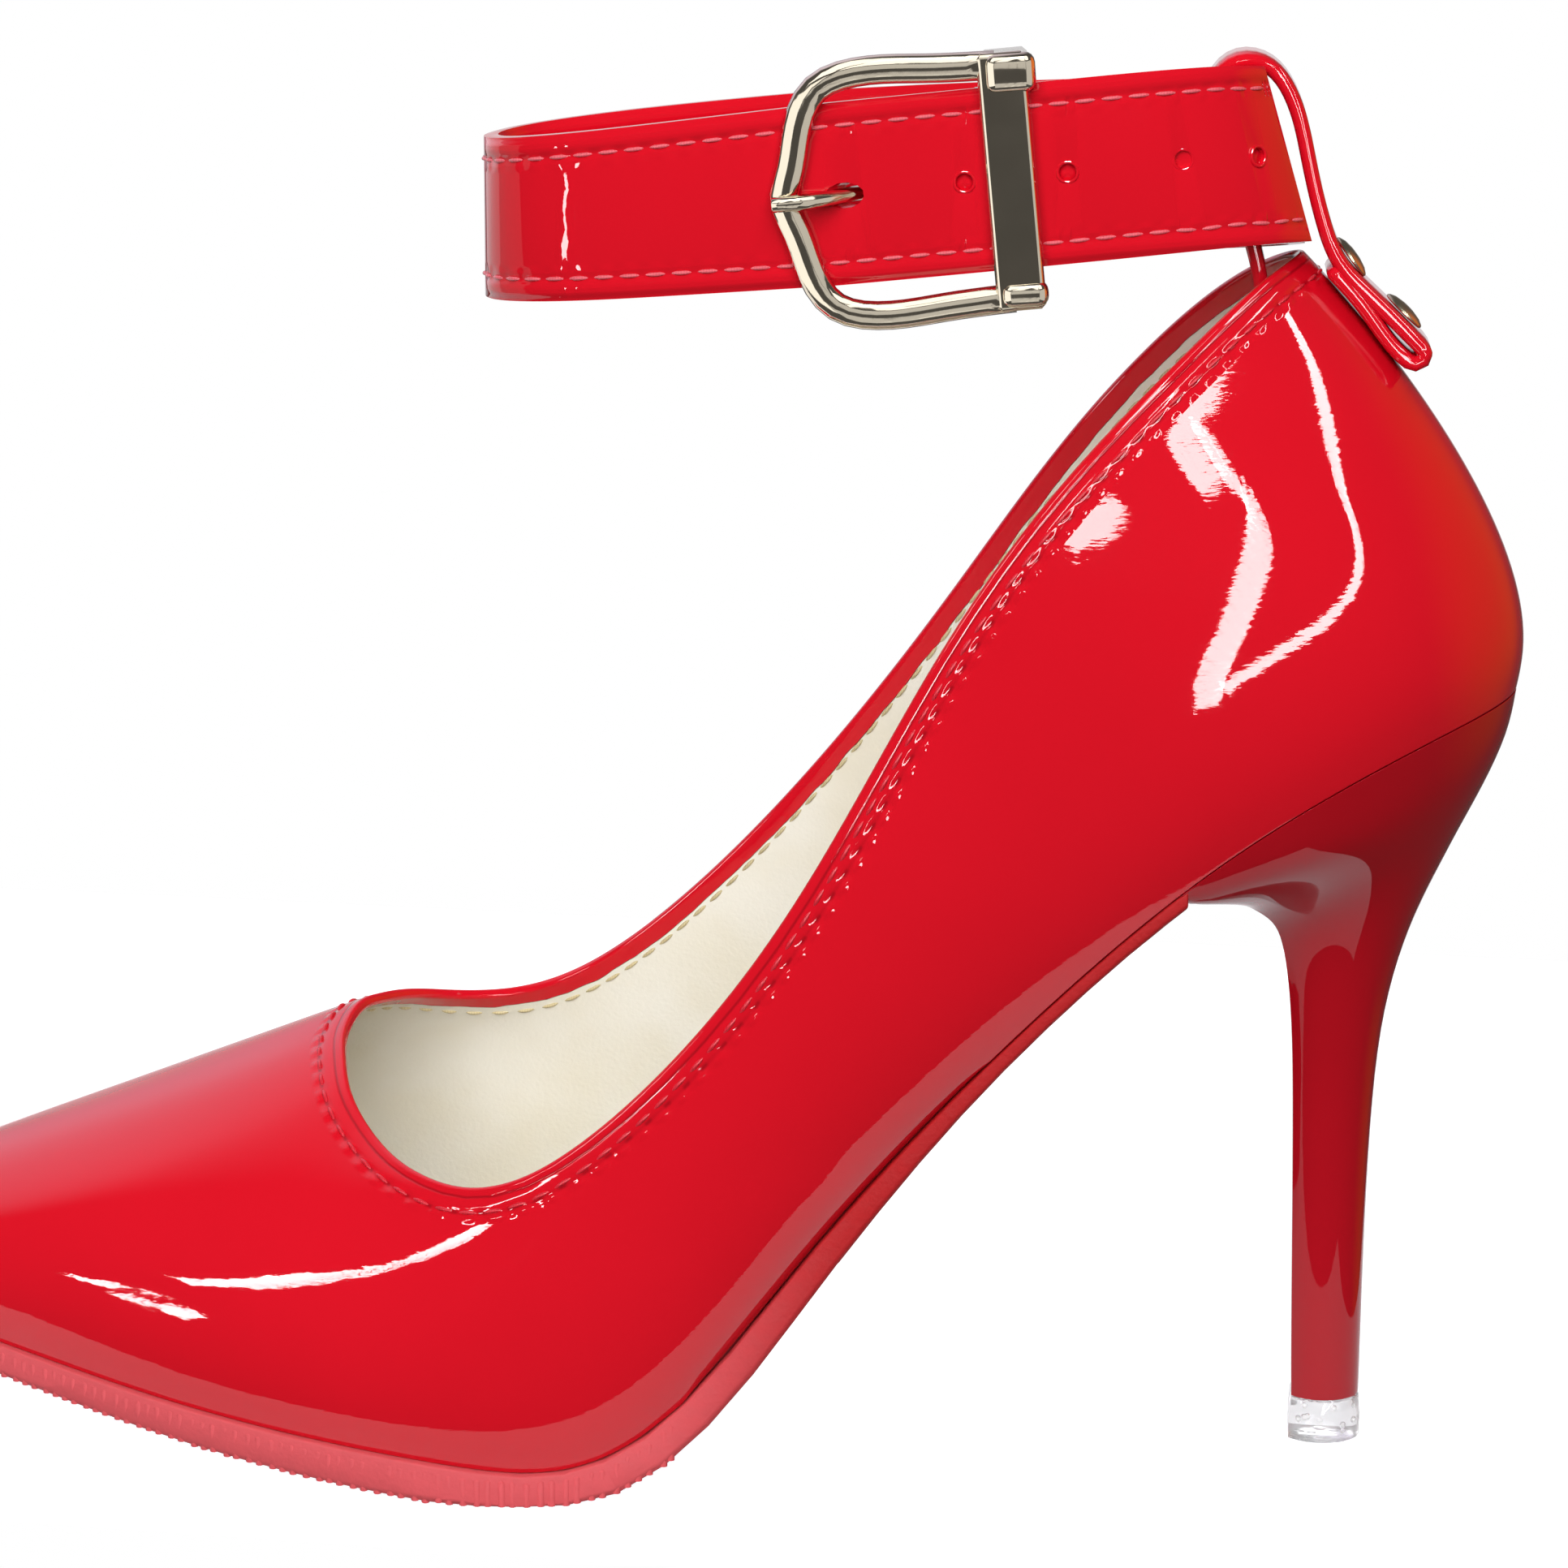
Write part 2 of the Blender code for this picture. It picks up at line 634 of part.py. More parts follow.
def offset_plan(points, distance):
    """A plan line moved sideways, outwards for a line that runs round the ankle from the outer side."""
    points = np.asarray(points, float)
    along = np.gradient(points, axis=0)
    side = np.stack([along[:, 1], -along[:, 0]], axis=1)
    side /= np.linalg.norm(side, axis=1, keepdims=True)
    return points + distance * side


def strap_route():
    """Plan points of the strap: folded round the bar, round the ankle, and over its own start."""
    wrap_radius = BAR_RADIUS + WRAP_GAP + STRAP_THICKNESS / 2.0
    wrap = []
    for angle in (75.0, 120.0, 165.0, 210.0, 255.0, 285.0):
        turn = math.radians(angle)
        wrap.append(bar_centre() + wrap_radius * np.array([math.cos(turn), math.sin(turn)]))
    tongue = offset_plan(STRAP_BACK_RUN, STRAP_THICKNESS + GAP)
    over_bar = np.array([bar_centre()[0] - 1.0, tongue[0][1]])
    route = list(STRAP_RETURN) + wrap + list(STRAP_BACK_RUN) + list(STRAP_ROUND) + [over_bar] + list(tongue)
    return path_through([tuple(p) for p in route], STRAP_SAMPLES)


def strip(route, thickness, frame_at):
    """Corner points of a flat strip along a plan route; frame_at gives the middle and half width vectors."""
    along = np.gradient(route, axis=0)
    side = np.stack([along[:, 1], -along[:, 0]], axis=1)
    side /= np.linalg.norm(side, axis=1, keepdims=True)
    points = []
    for place, out in zip(route, side):
        for sign_out, sign_up in ((1, 1), (1, -1), (-1, -1), (-1, 1)):
            points.append(frame_at(place + sign_out * out * thickness / 2.0, sign_up))
    return points


def strip_faces(count):
    faces = []
    for i in range(count - 1):
        faces += ring_faces(4 * i, 4 * (i + 1), 4)
    faces.append((0, 1, 2, 3))
    faces.append(tuple(4 * (count - 1) + k for k in range(4)))
    return faces


def build_strap(material):
    """The ankle strap with its punched holes and the slot for the prong."""
    def frame_at(plan, sign_up):
        x, y = plan
        middle = np.array([x, y, strap_mid_z(x, y)])
        return middle + strap_up(x) * sign_up * strap_half_width(x)

    points = strip(strap_route(), STRAP_THICKNESS, frame_at)
    strap = solid("ankle_strap", points, strip_faces(STRAP_SAMPLES), material)
    tongue_y = offset_plan(STRAP_BACK_RUN, STRAP_THICKNESS + GAP)[0][1]
    inner_face = tongue_y + STRAP_THICKNESS / 2.0 + GAP / 2.0
    for i, x in enumerate(STRAP_HOLE_X):
        middle = Vector((x, inner_face - HOLE_CUT_LENGTH / 2.0, strap_mid_z(x, tongue_y)))
        cutter = f"strap_hole_cutter_{i + 1}"
        cut_rod(strap, cutter, middle, Vector((0.0, 1.0, 0.0)), STRAP_HOLE_RADIUS, HOLE_CUT_LENGTH)
    under = prong_point(PRONG_UNDER)
    over = prong_point(PRONG_OVER)
    cut_rod(strap, "prong_hole_cutter", (under + over) / 2.0, over - under, PRONG_HOLE_RADIUS,
            PRONG_CUT_LENGTH)
    bar_x = bar_centre()[0]
    bar_z = strap_mid_z(bar_x, BAR_Y)
    slot_low = Vector((bar_x - PRONG_SLOT_FRONT, inner_face, bar_z - PRONG_SLOT_HALF))
    slot_high = Vector((bar_x + PRONG_SLOT_BACK, BAR_Y + PRONG_SLOT_DEPTH, bar_z + PRONG_SLOT_HALF))
    slot = box("prong_slot_cutter", slot_low, slot_high, None)
    combine(strap, slot, "DIFFERENCE")
    return strap


def cut_rod(target, name, middle, direction, radius, length):
    """Cut a round hole along a direction."""
    mesh = bpy.data.meshes.new(name)
    form = bmesh.new()
    turn = Vector((0.0, 0.0, 1.0)).rotation_difference(direction).to_matrix().to_4x4()
    place = Matrix.Translation(middle * MM) @ turn
    bmesh.ops.create_cone(
        form, cap_ends=True, segments=HOLE_SIDES, radius1=radius * MM, radius2=radius * MM,
        depth=length * MM, matrix=place,
    )
    form.to_mesh(mesh)
    form.free()
    rod = bpy.data.objects.new(name, mesh)
    bpy.context.collection.objects.link(rod)
    combine(target, rod, "DIFFERENCE")


def combine(target, helper, operation):
    """A Boolean with a helper shape that is itself left out of the shoe."""
    helper.hide_render = True
    helper.display_type = "WIRE"
    modifier = target.modifiers.new(helper.name, "BOOLEAN")
    modifier.operation = operation
    modifier.solver = "EXACT"
    modifier.object = helper


def box(name, low, high, material, bevel=0.0):
    """A box between two corners, with its edges cut back by the bevel."""
    mesh = bpy.data.meshes.new(name)
    form = bmesh.new()
    size = high - low
    place = Matrix.Translation((low + high) / 2.0 * MM) @ Matrix.Diagonal((*(size * MM), 1.0))
    bmesh.ops.create_cube(form, size=1.0, matrix=place)
    if bevel:
        bmesh.ops.bevel(form, geom=form.edges[:], offset=bevel * MM, segments=1, affect="EDGES")
    form.to_mesh(mesh)
    form.free()
    if material:
        mesh.materials.append(material)
    obj = bpy.data.objects.new(name, mesh)
    bpy.context.collection.objects.link(obj)
    return obj


# Buckle
def buckle_point(a, b, y):
    """A point of the buckle's own plane in the shoe's frame."""
    tilt = math.radians(BUCKLE_TILT)
    return Vector((
        BUCKLE_X + a * math.cos(tilt) - b * math.sin(tilt),
        y,
        BUCKLE_Z + a * math.sin(tilt) + b * math.cos(tilt),
    ))


def prong_point(plan):
    """The prong lies on the buckle's middle line."""
    along = (plan.x - BUCKLE_X) / math.cos(math.radians(BUCKLE_TILT))
    return buckle_point(along, 0.0, plan.y)


def tube(name, path, half_width, half_depth, sides, material, across):
    """A closed rod along a path, its depth measured along the given direction."""
    path = np.asarray(path, float)
    along = np.gradient(path, axis=0)
    along /= np.linalg.norm(along, axis=1, keepdims=True)
    points = []
    for place, ahead in zip(path, along):
        deep = np.asarray(across, float) - ahead * float(np.dot(across, ahead))
        deep /= np.linalg.norm(deep)
        wide = np.cross(ahead, deep)
        for k in range(sides):
            turn = 2.0 * math.pi * k / sides
            points.append(place + wide * half_width * math.cos(turn) + deep * half_depth * math.sin(turn))
    faces = []
    for i in range(len(path) - 1):
        faces += ring_faces(sides * i, sides * (i + 1), sides)
    faces.append(tuple(range(sides)))
    faces.append(tuple(sides * (len(path) - 1) + k for k in range(sides)))
    return solid(name, points, faces, material)


def build_buckle_frame(material):
    """The cast frame: a bent bow, a flat keeper with its end blocks, and the bar that the strap hangs on."""
    bow = path_through(FRAME_BENDS, FRAME_SAMPLES)
    path = [tuple(buckle_point(a, b, FRAME_Y)) for a, b in bow]
    depth_way = (0.0, 1.0, 0.0)
    frame = tube("buckle_frame", path, WIRE_HALF_WIDTH, WIRE_HALF_DEPTH, WIRE_SIDES, material, depth_way)
    turn = Matrix.Rotation(-math.radians(BUCKLE_TILT), 4, "Y")
    tilt = Matrix.Translation(buckle_point(0.0, 0.0, 0.0) * MM) @ turn
    low_a, high_a = KEEPER_A
    top = KEEPER_HALF_HEIGHT
    front, back = BLOCK_Y
    block_low = low_a + BLOCK_INSET
    block_high = high_a - BLOCK_INSET
    far = top - BLOCK_INSET
    near = top - KEEPER_BLOCK
    spans = (
        ("keeper_front", Vector((low_a, KEEPER_Y[0], -top)), Vector((high_a, KEEPER_Y[1], top))),
        ("keeper_top", Vector((block_low, front, near)), Vector((block_high, back, far))),
        ("keeper_bottom", Vector((block_low, front, -far)), Vector((block_high, back, -near))),
    )
    for name, low, high in spans:
        piece = box(name, low, high, material, KEEPER_BEVEL)
        piece.data.transform(tilt)
        combine(frame, piece, "UNION")
    ends = [tuple(buckle_point(BAR_A, b, BAR_Y)) for b in (-top + BAR_END_INSET, 0.0, top - BAR_END_INSET)]
    bar = tube("buckle_bar", ends, BAR_RADIUS, BAR_RADIUS, BAR_SIDES, material, depth_way)
    combine(frame, bar, "UNION")
    return frame


def build_prong(material):
    """The prong: an eye round the bar, under the strap, up through the hole and onto the bow."""
    eye_radius = BAR_RADIUS + GAP + PRONG_RADIUS
    centre = bar_centre()
    eye = []
    for angle in (20.0, 60.0, 100.0, 140.0, 180.0, 220.0):
        turn = math.radians(angle)
        eye.append(Plan(*(centre + eye_radius * np.array([math.cos(turn), math.sin(turn)]))))
    middle = Plan((PRONG_UNDER.x + PRONG_OVER.x) / 2.0, (PRONG_UNDER.y + PRONG_OVER.y) / 2.0)
    leave = Plan(centre[0] - PRONG_LEAVES_BAR, PRONG_UNDER.y + 0.1)
    stops = eye + [leave, PRONG_UNDER, middle, PRONG_OVER, PRONG_TIP]
    path = path_through([tuple(prong_point(p)) for p in stops], PRONG_SAMPLES)
    return tube("buckle_prong", path, PRONG_RADIUS, PRONG_RADIUS, PRONG_SIDES, material, (0.0, 0.1, 1.0))


# Back loop
def back_profile(columns, share):
    """A point on the middle line of the counter, from foot (0) to collar (1), and its outward direction."""
    handles = columns[len(columns) // 2].handles
    here = bezier(handles, share)
    ahead = bezier(handles, share + SHARE_STEP) - bezier(handles, share - SHARE_STEP)
    out = np.array([ahead[2], -ahead[0]])
    return np.array([here[0], here[2]]), out / np.linalg.norm(out)


def loop_line(columns):
    """The loop's middle line: up inside the counter, over the strap, down the counter, then folded under."""
    under = 1.5 * GAP + LOOP_THICKNESS / 2.0
    seats = [back_profile(columns, seat.share) for seat in LOOP_SEAT]
    outer = [place + seat.lift * out for seat, (place, out) in zip(LOOP_SEAT, seats)]
    inner = [place + under * out for place, out in seats[:0:-1]]
    low, low_out = seats[-1]
    down = np.array([low_out[1], -low_out[0]])
    centre = low + (under + LOOP_FOLD_RADIUS) * low_out
    fold = []
    for angle in (45.0, 0.0, -45.0):
        turn = math.radians(angle)
        fold.append(centre + LOOP_FOLD_RADIUS * (down * math.cos(turn) + low_out * math.sin(turn)))
    top, top_out = back_profile(columns, LOOP_RETURN_END)
    route = list(LOOP_INNER_RUN) + list(LOOP_OVER_TOP) + list(LOOP_OUTER_RUN) + outer + fold + inner
    route.append(top + under * top_out)
    return path_through([tuple(place) for place in route], LOOP_SAMPLES)


def build_back_loop(line, material):
    """The loop as one flat strip."""
    def frame_at(place, sign):
        return np.array([place[0], sign * LOOP_WIDTH / 2.0, place[1]])

    points = strip(line, LOOP_THICKNESS, frame_at)
    return solid("back_loop", points, strip_faces(LOOP_SAMPLES), material)


def build_snap(name, line, x, material):
    """A domed snap cap on the outer layer of the loop, where that layer passes the given x."""
    after_top = line[:, 1].argmax()
    index = after_top + int(np.argmax(line[after_top:, 0] > x))
    ahead = line[index + 1] - line[index - 1]
    out = np.array([-ahead[1], ahead[0]]) / np.linalg.norm(ahead)
    seat = line[index] + (LOOP_THICKNESS / 2.0 + SNAP_LIFT) * out
    axis = Vector((out[0], 0.0, out[1]))
    side = Vector((0.0, 1.0, 0.0))
    across = axis.cross(side)
    base = Vector((seat[0], 0.0, seat[1]))
    rings = [(SNAP_RADIUS * row.radius_share, SNAP_HEIGHT * row.height_share) for row in SNAP_DOME]
    points = []
    for radius, height in rings:
        for k in range(SNAP_SIDES):
            turn = 2.0 * math.pi * k / SNAP_SIDES
            points.append(base + axis * height + (side * math.cos(turn) + across * math.sin(turn)) * radius)
    faces = []
    for r in range(len(rings) - 1):
        faces += ring_faces(r * SNAP_SIDES, (r + 1) * SNAP_SIDES, SNAP_SIDES)
    faces.append(tuple(range(SNAP_SIDES)))
    faces.append(tuple((len(rings) - 1) * SNAP_SIDES + k for k in range(SNAP_SIDES)))
    return solid(name, points, faces, material)


def stand_on_origin(objects):
    """Hang the pieces on an empty that puts the middle of the shoe's box on the floor at the origin."""
    corners = np.array([vert.co for obj in objects for vert in obj.data.vertices])
    middle = (corners.min(axis=0) + corners.max(axis=0)) / 2.0
    holder = bpy.data.objects.new("shoe", None)
    bpy.context.collection.objects.link(holder)
    holder.location = (-middle[0], -middle[1], 0.0)
    for obj in list(bpy.data.objects):
        if obj is not holder:
            obj.parent = holder
    return holder


def main():
    clear_scene()
    patent = finish("red_patent", (0.62, 0.006, 0.018), 0.08, coat=1.0)
    strap_patent = finish("strap_patent", (0.62, 0.006, 0.018), 0.1, coat=1.0)
    loop_patent = finish("loop_patent", (0.6, 0.006, 0.018), 0.12, coat=1.0)
    lining = finish("cream_lining", (0.83, 0.79, 0.62), 0.6)
    coral = finish("coral_rubber", (0.82, 0.1, 0.1), 0.7)
    lacquer = finish("heel_lacquer", (0.4, 0.006, 0.014), 0.12, coat=1.0)
    clear = finish("clear_tip", (0.9, 0.9, 0.9), 0.15, transmission=0.8)
    metal = finish("pale_gold", (0.78, 0.7, 0.55), 0.15, metallic=1.0)
    prong_metal = finish("prong_gold", (0.76, 0.68, 0.54), 0.18, metallic=1.0)
    snap_metal = finish("snap_gold", (0.72, 0.66, 0.5), 0.22, metallic=1.0)

    columns = last_columns()
    loop = loop_line(columns)
    pieces = [
        build_upper(columns, patent),
        build_insole(columns, lining),
        build_outsole(columns, coral),
        build_heel(columns, lacquer),
        build_heel_tip(columns, clear),
        build_strap(strap_patent),
        build_back_loop(loop, loop_patent),
        build_snap("snap_upper", loop, SNAP_X[0], snap_metal),
        build_snap("snap_lower", loop, SNAP_X[1], snap_metal),
        build_buckle_frame(metal),
        build_prong(prong_metal),
    ]
    stand_on_origin(pieces)


main()
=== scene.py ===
"""Looks of the stiletto pump: patent leather, lining, stitches, buckle, sole and heel on a pale floor.

Lengths are in metres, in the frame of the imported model: +X from the toe to the heel, +Y to the inner side of
the foot, +Z up from the floor.
"""
import json
import math
from collections import namedtuple
from functools import reduce

import bmesh
import bpy
from mathutils import Matrix, Vector
from mathutils.bvhtree import BVHTree
from mathutils.kdtree import KDTree

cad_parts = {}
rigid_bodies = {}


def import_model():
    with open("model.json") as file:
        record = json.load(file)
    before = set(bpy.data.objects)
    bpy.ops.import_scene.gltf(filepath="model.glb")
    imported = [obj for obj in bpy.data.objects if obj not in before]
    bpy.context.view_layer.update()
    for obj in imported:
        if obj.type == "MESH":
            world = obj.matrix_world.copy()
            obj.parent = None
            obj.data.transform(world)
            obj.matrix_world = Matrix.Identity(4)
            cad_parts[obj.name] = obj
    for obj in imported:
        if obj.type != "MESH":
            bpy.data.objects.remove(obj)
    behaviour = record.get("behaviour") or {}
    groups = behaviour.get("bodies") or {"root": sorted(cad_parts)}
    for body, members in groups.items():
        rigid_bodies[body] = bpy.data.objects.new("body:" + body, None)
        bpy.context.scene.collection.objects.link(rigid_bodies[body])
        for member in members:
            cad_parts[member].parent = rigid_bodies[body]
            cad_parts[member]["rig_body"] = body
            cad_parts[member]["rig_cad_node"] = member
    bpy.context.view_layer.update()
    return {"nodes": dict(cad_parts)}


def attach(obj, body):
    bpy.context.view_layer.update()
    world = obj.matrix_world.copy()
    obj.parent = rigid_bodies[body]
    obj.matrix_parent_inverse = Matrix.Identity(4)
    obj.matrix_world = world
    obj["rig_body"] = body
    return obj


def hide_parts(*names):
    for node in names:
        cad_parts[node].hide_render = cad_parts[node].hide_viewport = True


MM = 0.001

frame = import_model()
nodes = frame["nodes"]

# The photograph's view
PHOTO_PIXELS = 1932.0
FOCAL_PIXELS = 5656.0
SENSOR_MM = 36.0
VIEW_AZIMUTH = 5.0
VIEW_ELEVATION = 13.5
VIEW_ROLL = 0.3
VIEW_DISTANCE = 0.6
VIEW_TARGET = Vector((0.0213, -0.0004, 0.0870))

# Colours of the finishes
RED = (0.64, 0.0042, 0.0155)
RED_DEEP = (0.56, 0.003, 0.0115)
# RED_SHADE is painted shade: in the collar seam's pits, along its crease and on the sock's edge
RED_SHADE = (0.16, 0.001, 0.004)
HEEL_RED = (0.40, 0.0035, 0.011)
HEEL_RED_DEEP = (0.33, 0.0025, 0.008)
CREAM = (0.80, 0.775, 0.69)
CREAM_SHADE = (0.76, 0.72, 0.60)
NEAR_RIM_TAN = (0.30, 0.10, 0.03)
SOLE_CORAL = (0.64, 0.088, 0.102)
# The sole's deeper red under the arch is painted shade
SOLE_ARCH_SHADE = (0.44, 0.012, 0.015)
PALE_GOLD = (0.78, 0.70, 0.56)
DULL_GOLD = (0.60, 0.54, 0.38)
CLEAR = (0.84, 0.85, 0.86)
BUBBLE = (0.98, 0.98, 0.98)
RED_THREAD = (0.64, 0.02, 0.036)
# The strap's thread is red, painted paler to stand for its sheen
PAINTED_SHEEN_THREAD = (0.74, 0.12, 0.15)
TAN_THREAD = (0.60, 0.50, 0.28)

# Seams: stitch pitch, place in from the edge, half width of the groove, and the row of puckers beside it
SEAM_PITCH = 3.3 * MM
Seam = namedtuple("Seam", "place groove_half pucker_off pucker_half pucker_height")
COLLAR_SEAM = Seam(3.5 * MM, 0.8 * MM, 0.7 * MM, 0.8 * MM, -0.08 * MM)
STRAP_SEAM = Seam(2.8 * MM, 0.9 * MM, 0.9 * MM, 0.9 * MM, -0.05 * MM)
GROOVE_DEPTH = -0.10 * MM
GROOVE_WAVE = -0.05 * MM
LINING_SEAM_BELOW = 1.5 * MM

# The red fold inside the collar is wider towards the top of the counter
FOLD_LOW, FOLD_HIGH = 2.3 * MM, 2.7 * MM
FOLD_LOW_Z, FOLD_HIGH_Z = 55.0 * MM, 140.0 * MM

# Worked edges: width, segments and the least angle in degrees that is rounded
Edge = namedtuple("Edge", "width segments angle")
STRAP_EDGE = Edge(0.6 * MM, 3, 45.0)
LOOP_EDGE = Edge(0.35 * MM, 2, 50.0)
SNAP_EDGE = Edge(0.2 * MM, 2, 30.0)
BOW_EDGE = Edge(0.4 * MM, 3, 50.0)
PIN_EDGE = Edge(0.3 * MM, 2, 60.0)
SOLE_EDGE = Edge(0.3 * MM, 2, 40.0)
HEEL_EDGE = Edge(0.2 * MM, 2, 45.0)
TIP_EDGE = Edge(0.3 * MM, 2, 45.0)
SOCK_EDGE = Edge(0.5 * MM, 3, 45.0)

# Angles in degrees up to which an edge is shaded smooth
ROUND_FORM = 60.0
BOARD_FORM = 45.0
SOLE_FORM = 40.0
STRIP_FORM = 35.0

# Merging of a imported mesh: doubles within this, and triangles up to these angles made quads
MERGE_WITHIN = 0.002 * MM
QUAD_FACE = math.radians(35.0)
QUAD_SHAPE = math.radians(60.0)


# Small tools for work by hand
def pick_only(obj):
    """Make one object the only selected and active one."""
    bpy.ops.object.select_all(action="DESELECT")
    obj.select_set(True)
    bpy.context.view_layer.objects.active = obj


def open_mesh(obj, mode="EDGE"):
    """Go into edit mode on one object with nothing selected in its mesh."""
    pick_only(obj)
    bpy.ops.object.mode_set(mode="EDIT")
    bpy.ops.mesh.select_mode(type=mode)
    bpy.ops.mesh.select_all(action="DESELECT")


def close_mesh():
    bpy.ops.object.mode_set(mode="OBJECT")


def copy_of(node, name):
    """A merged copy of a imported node's mesh, in quads where it can be."""
    piece = nodes[node].copy()
    piece.data = nodes[node].data.copy()
    piece.name = name
    piece.data.name = name
    piece.parent = None
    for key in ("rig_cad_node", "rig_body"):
        if key in piece:
            del piece[key]
    bpy.context.scene.collection.objects.link(piece)
    open_mesh(piece)
    bpy.ops.mesh.select_all(action="SELECT")
    bpy.ops.mesh.remove_doubles(threshold=MERGE_WITHIN)
    bpy.ops.mesh.tris_convert_to_quads(face_threshold=QUAD_FACE, shape_threshold=QUAD_SHAPE)
    close_mesh()
    return piece


def apply_modifiers(obj):
    pick_only(obj)
    for modifier in list(obj.modifiers):
        bpy.ops.object.modifier_apply(modifier=modifier.name)


def round_edges(obj, edge):
    """Round every edge that is sharper than the given one's angle."""
    modifier = obj.modifiers.new("worked edge", "BEVEL")
    modifier.width = edge.width
    modifier.segments = edge.segments
    modifier.limit_method = "ANGLE"
    modifier.angle_limit = math.radians(edge.angle)
    apply_modifiers(obj)


def smooth_form(obj, levels):
    modifier = obj.modifiers.new("smooth form", "SUBSURF")
    modifier.levels = levels
    modifier.render_levels = levels
    apply_modifiers(obj)


def shade(obj, angle):
    pick_only(obj)
    bpy.ops.object.shade_smooth_by_angle(angle=math.radians(angle))


def keep_flats(obj):
    """Let large flat faces mirror as flat ones, with the rounding left to the small faces by them."""
    modifier = obj.modifiers.new("flat faces", "WEIGHTED_NORMAL")
    modifier.keep_sharp = True
    apply_modifiers(obj)


def dress(obj, material):
    obj.data.materials.clear()
    obj.data.materials.append(material)


def place(obj, node):
    """Ride on the shoe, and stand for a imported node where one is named."""
    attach(obj, "root")
    if node:
        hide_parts(node)


def complete(obj, smooth, material, node):
    """Shade, dress and place a modelled piece."""
    shade(obj, smooth)
    dress(obj, material)
    place(obj, node)


def tree_of(obj):
    """A search tree of an object's faces."""
    return BVHTree.FromPolygons(
        [vert.co.copy() for vert in obj.data.vertices],
        [tuple(face.vertices) for face in obj.data.polygons],
    )


def write_values(obj, name, values):
    """Store one number for each vertex, for a material to read."""
    stored = obj.data.attributes.new(name, "FLOAT", "POINT")
    stored.data.foreach_set("value", values)


def turned(along, out):
    """A turn that lays X along a line and Z out of a surface."""
    along = along.normalized()
    side = out.cross(along).normalized()
    up = along.cross(side).normalized()
    return Matrix((along, side, up)).transposed().to_4x4()


def lay_copies(name, master, seats, material):
    """Copies of a master at a list of placements, joined into one piece; the master is used up."""
    copies = []
    for seat in seats:
        made = master.copy()
        made.data = master.data.copy()
        made.data.transform(seat)
        bpy.context.scene.collection.objects.link(made)
        copies.append(made)
    bpy.data.objects.remove(master, do_unlink=True)
    bpy.ops.object.select_all(action="DESELECT")
    for made in copies:
        made.select_set(True)
    bpy.context.view_layer.objects.active = copies[0]
    bpy.ops.object.join()
    joined = bpy.context.object
    joined.name = name
    joined.data.name = name
    complete(joined, ROUND_FORM, material, None)
    return joined


def evenly(points, step):
    """Points at even steps along a line."""
    found = [points[0]]
    carry = 0.0
    for a, b in zip(points, points[1:]):
        span = (b - a).length
        reach = step - carry
        while reach <= span:
            found.append(a.lerp(b, reach / span))
            reach += step
        carry = span - (reach - step)
    return found


# Shader tools
def new_material(name):
    material = bpy.data.materials.new(name)
    material.use_nodes = True
    tree = material.node_tree
    return material, tree, tree.nodes["Principled BSDF"]


def set_inputs(made, values):
    """Set a node's inputs by their names."""
    for name, value in values.items():
        made.inputs[name].default_value = value


def calc(tree, operation, *values):
    """One sum on up to three values, each a number or another node's output."""
    made = tree.nodes.new("ShaderNodeMath")
    made.operation = operation
    for socket, value in zip(made.inputs, values):
        if isinstance(value, bpy.types.NodeSocket):
            tree.links.new(value, socket)
        else:
            socket.default_value = value
    return made.outputs["Value"]


def total(tree, *values):
    """Several values added up."""
    return reduce(lambda first, second: calc(tree, "ADD", first, second), values)


def product(tree, *values):
    """Several values multiplied together."""
    return reduce(lambda first, second: calc(tree, "MULTIPLY", first, second), values)


def ramp(tree, value, low, high, out_low=0.0, out_high=1.0):
    """Map a value softly from one range to another, held at both ends."""
    made = tree.nodes.new("ShaderNodeMapRange")
    made.interpolation_type = "SMOOTHSTEP"
    made.clamp = True
    tree.links.new(value, made.inputs["Value"])
    set_inputs(made, {"From Min": low, "From Max": high, "To Min": out_low, "To Max": out_high})
    return made.outputs["Result"]


def fade(tree, value, low, high):
    """One up to the low end of a range, falling softly to nothing at its high end."""
    return ramp(tree, value, low, high, 1.0, 0.0)


def bell(tree, value, middle, half):
    """One at the middle, falling softly to nothing on both sides."""
    return product(tree, ramp(tree, value, middle - half, middle), fade(tree, value, middle, middle + half))


def ridge(tree, value, form):
    """A soft ridge across a value, or a groove where its height is below nothing."""
    return product(tree, bell(tree, value, form.middle, form.half), form.height)


def uneven(tree, point, scale, detail, depth):
    """A small ragged shift to both sides of nothing."""
    return product(tree, calc(tree, "SUBTRACT", noise(tree, point, scale, detail), 0.5), depth)


def mix_colour(tree, factor, first, second):
    made = tree.nodes.new("ShaderNodeMix")
    made.data_type = "RGBA"
    tree.links.new(factor, made.inputs[0])
    for socket, value in ((made.inputs[6], first), (made.inputs[7], second)):
        if isinstance(value, bpy.types.NodeSocket):
            tree.links.new(value, socket)
        else:
            socket.default_value = (*value, 1.0)
    return made.outputs[2]


def object_point(tree):
    return tree.nodes.new("ShaderNodeTexCoord").outputs["Object"]


def parts_of(tree, vector):
    """The X, Y and Z of a vector."""
    made = tree.nodes.new("ShaderNodeSeparateXYZ")
    tree.links.new(vector, made.inputs["Vector"])
    return made.outputs["X"], made.outputs["Y"], made.outputs["Z"]


def noise(tree, vector, scale, detail=2.0, roughness=0.5):
    made = tree.nodes.new("ShaderNodeTexNoise")
    set_inputs(made, {"Scale": scale, "Detail": detail, "Roughness": roughness})
    tree.links.new(vector, made.inputs["Vector"])
    return made.outputs["Fac"]


def stored(tree, name):
    """A value stored on the vertices."""
    made = tree.nodes.new("ShaderNodeAttribute")
    made.attribute_name = name
    return made.outputs["Fac"]


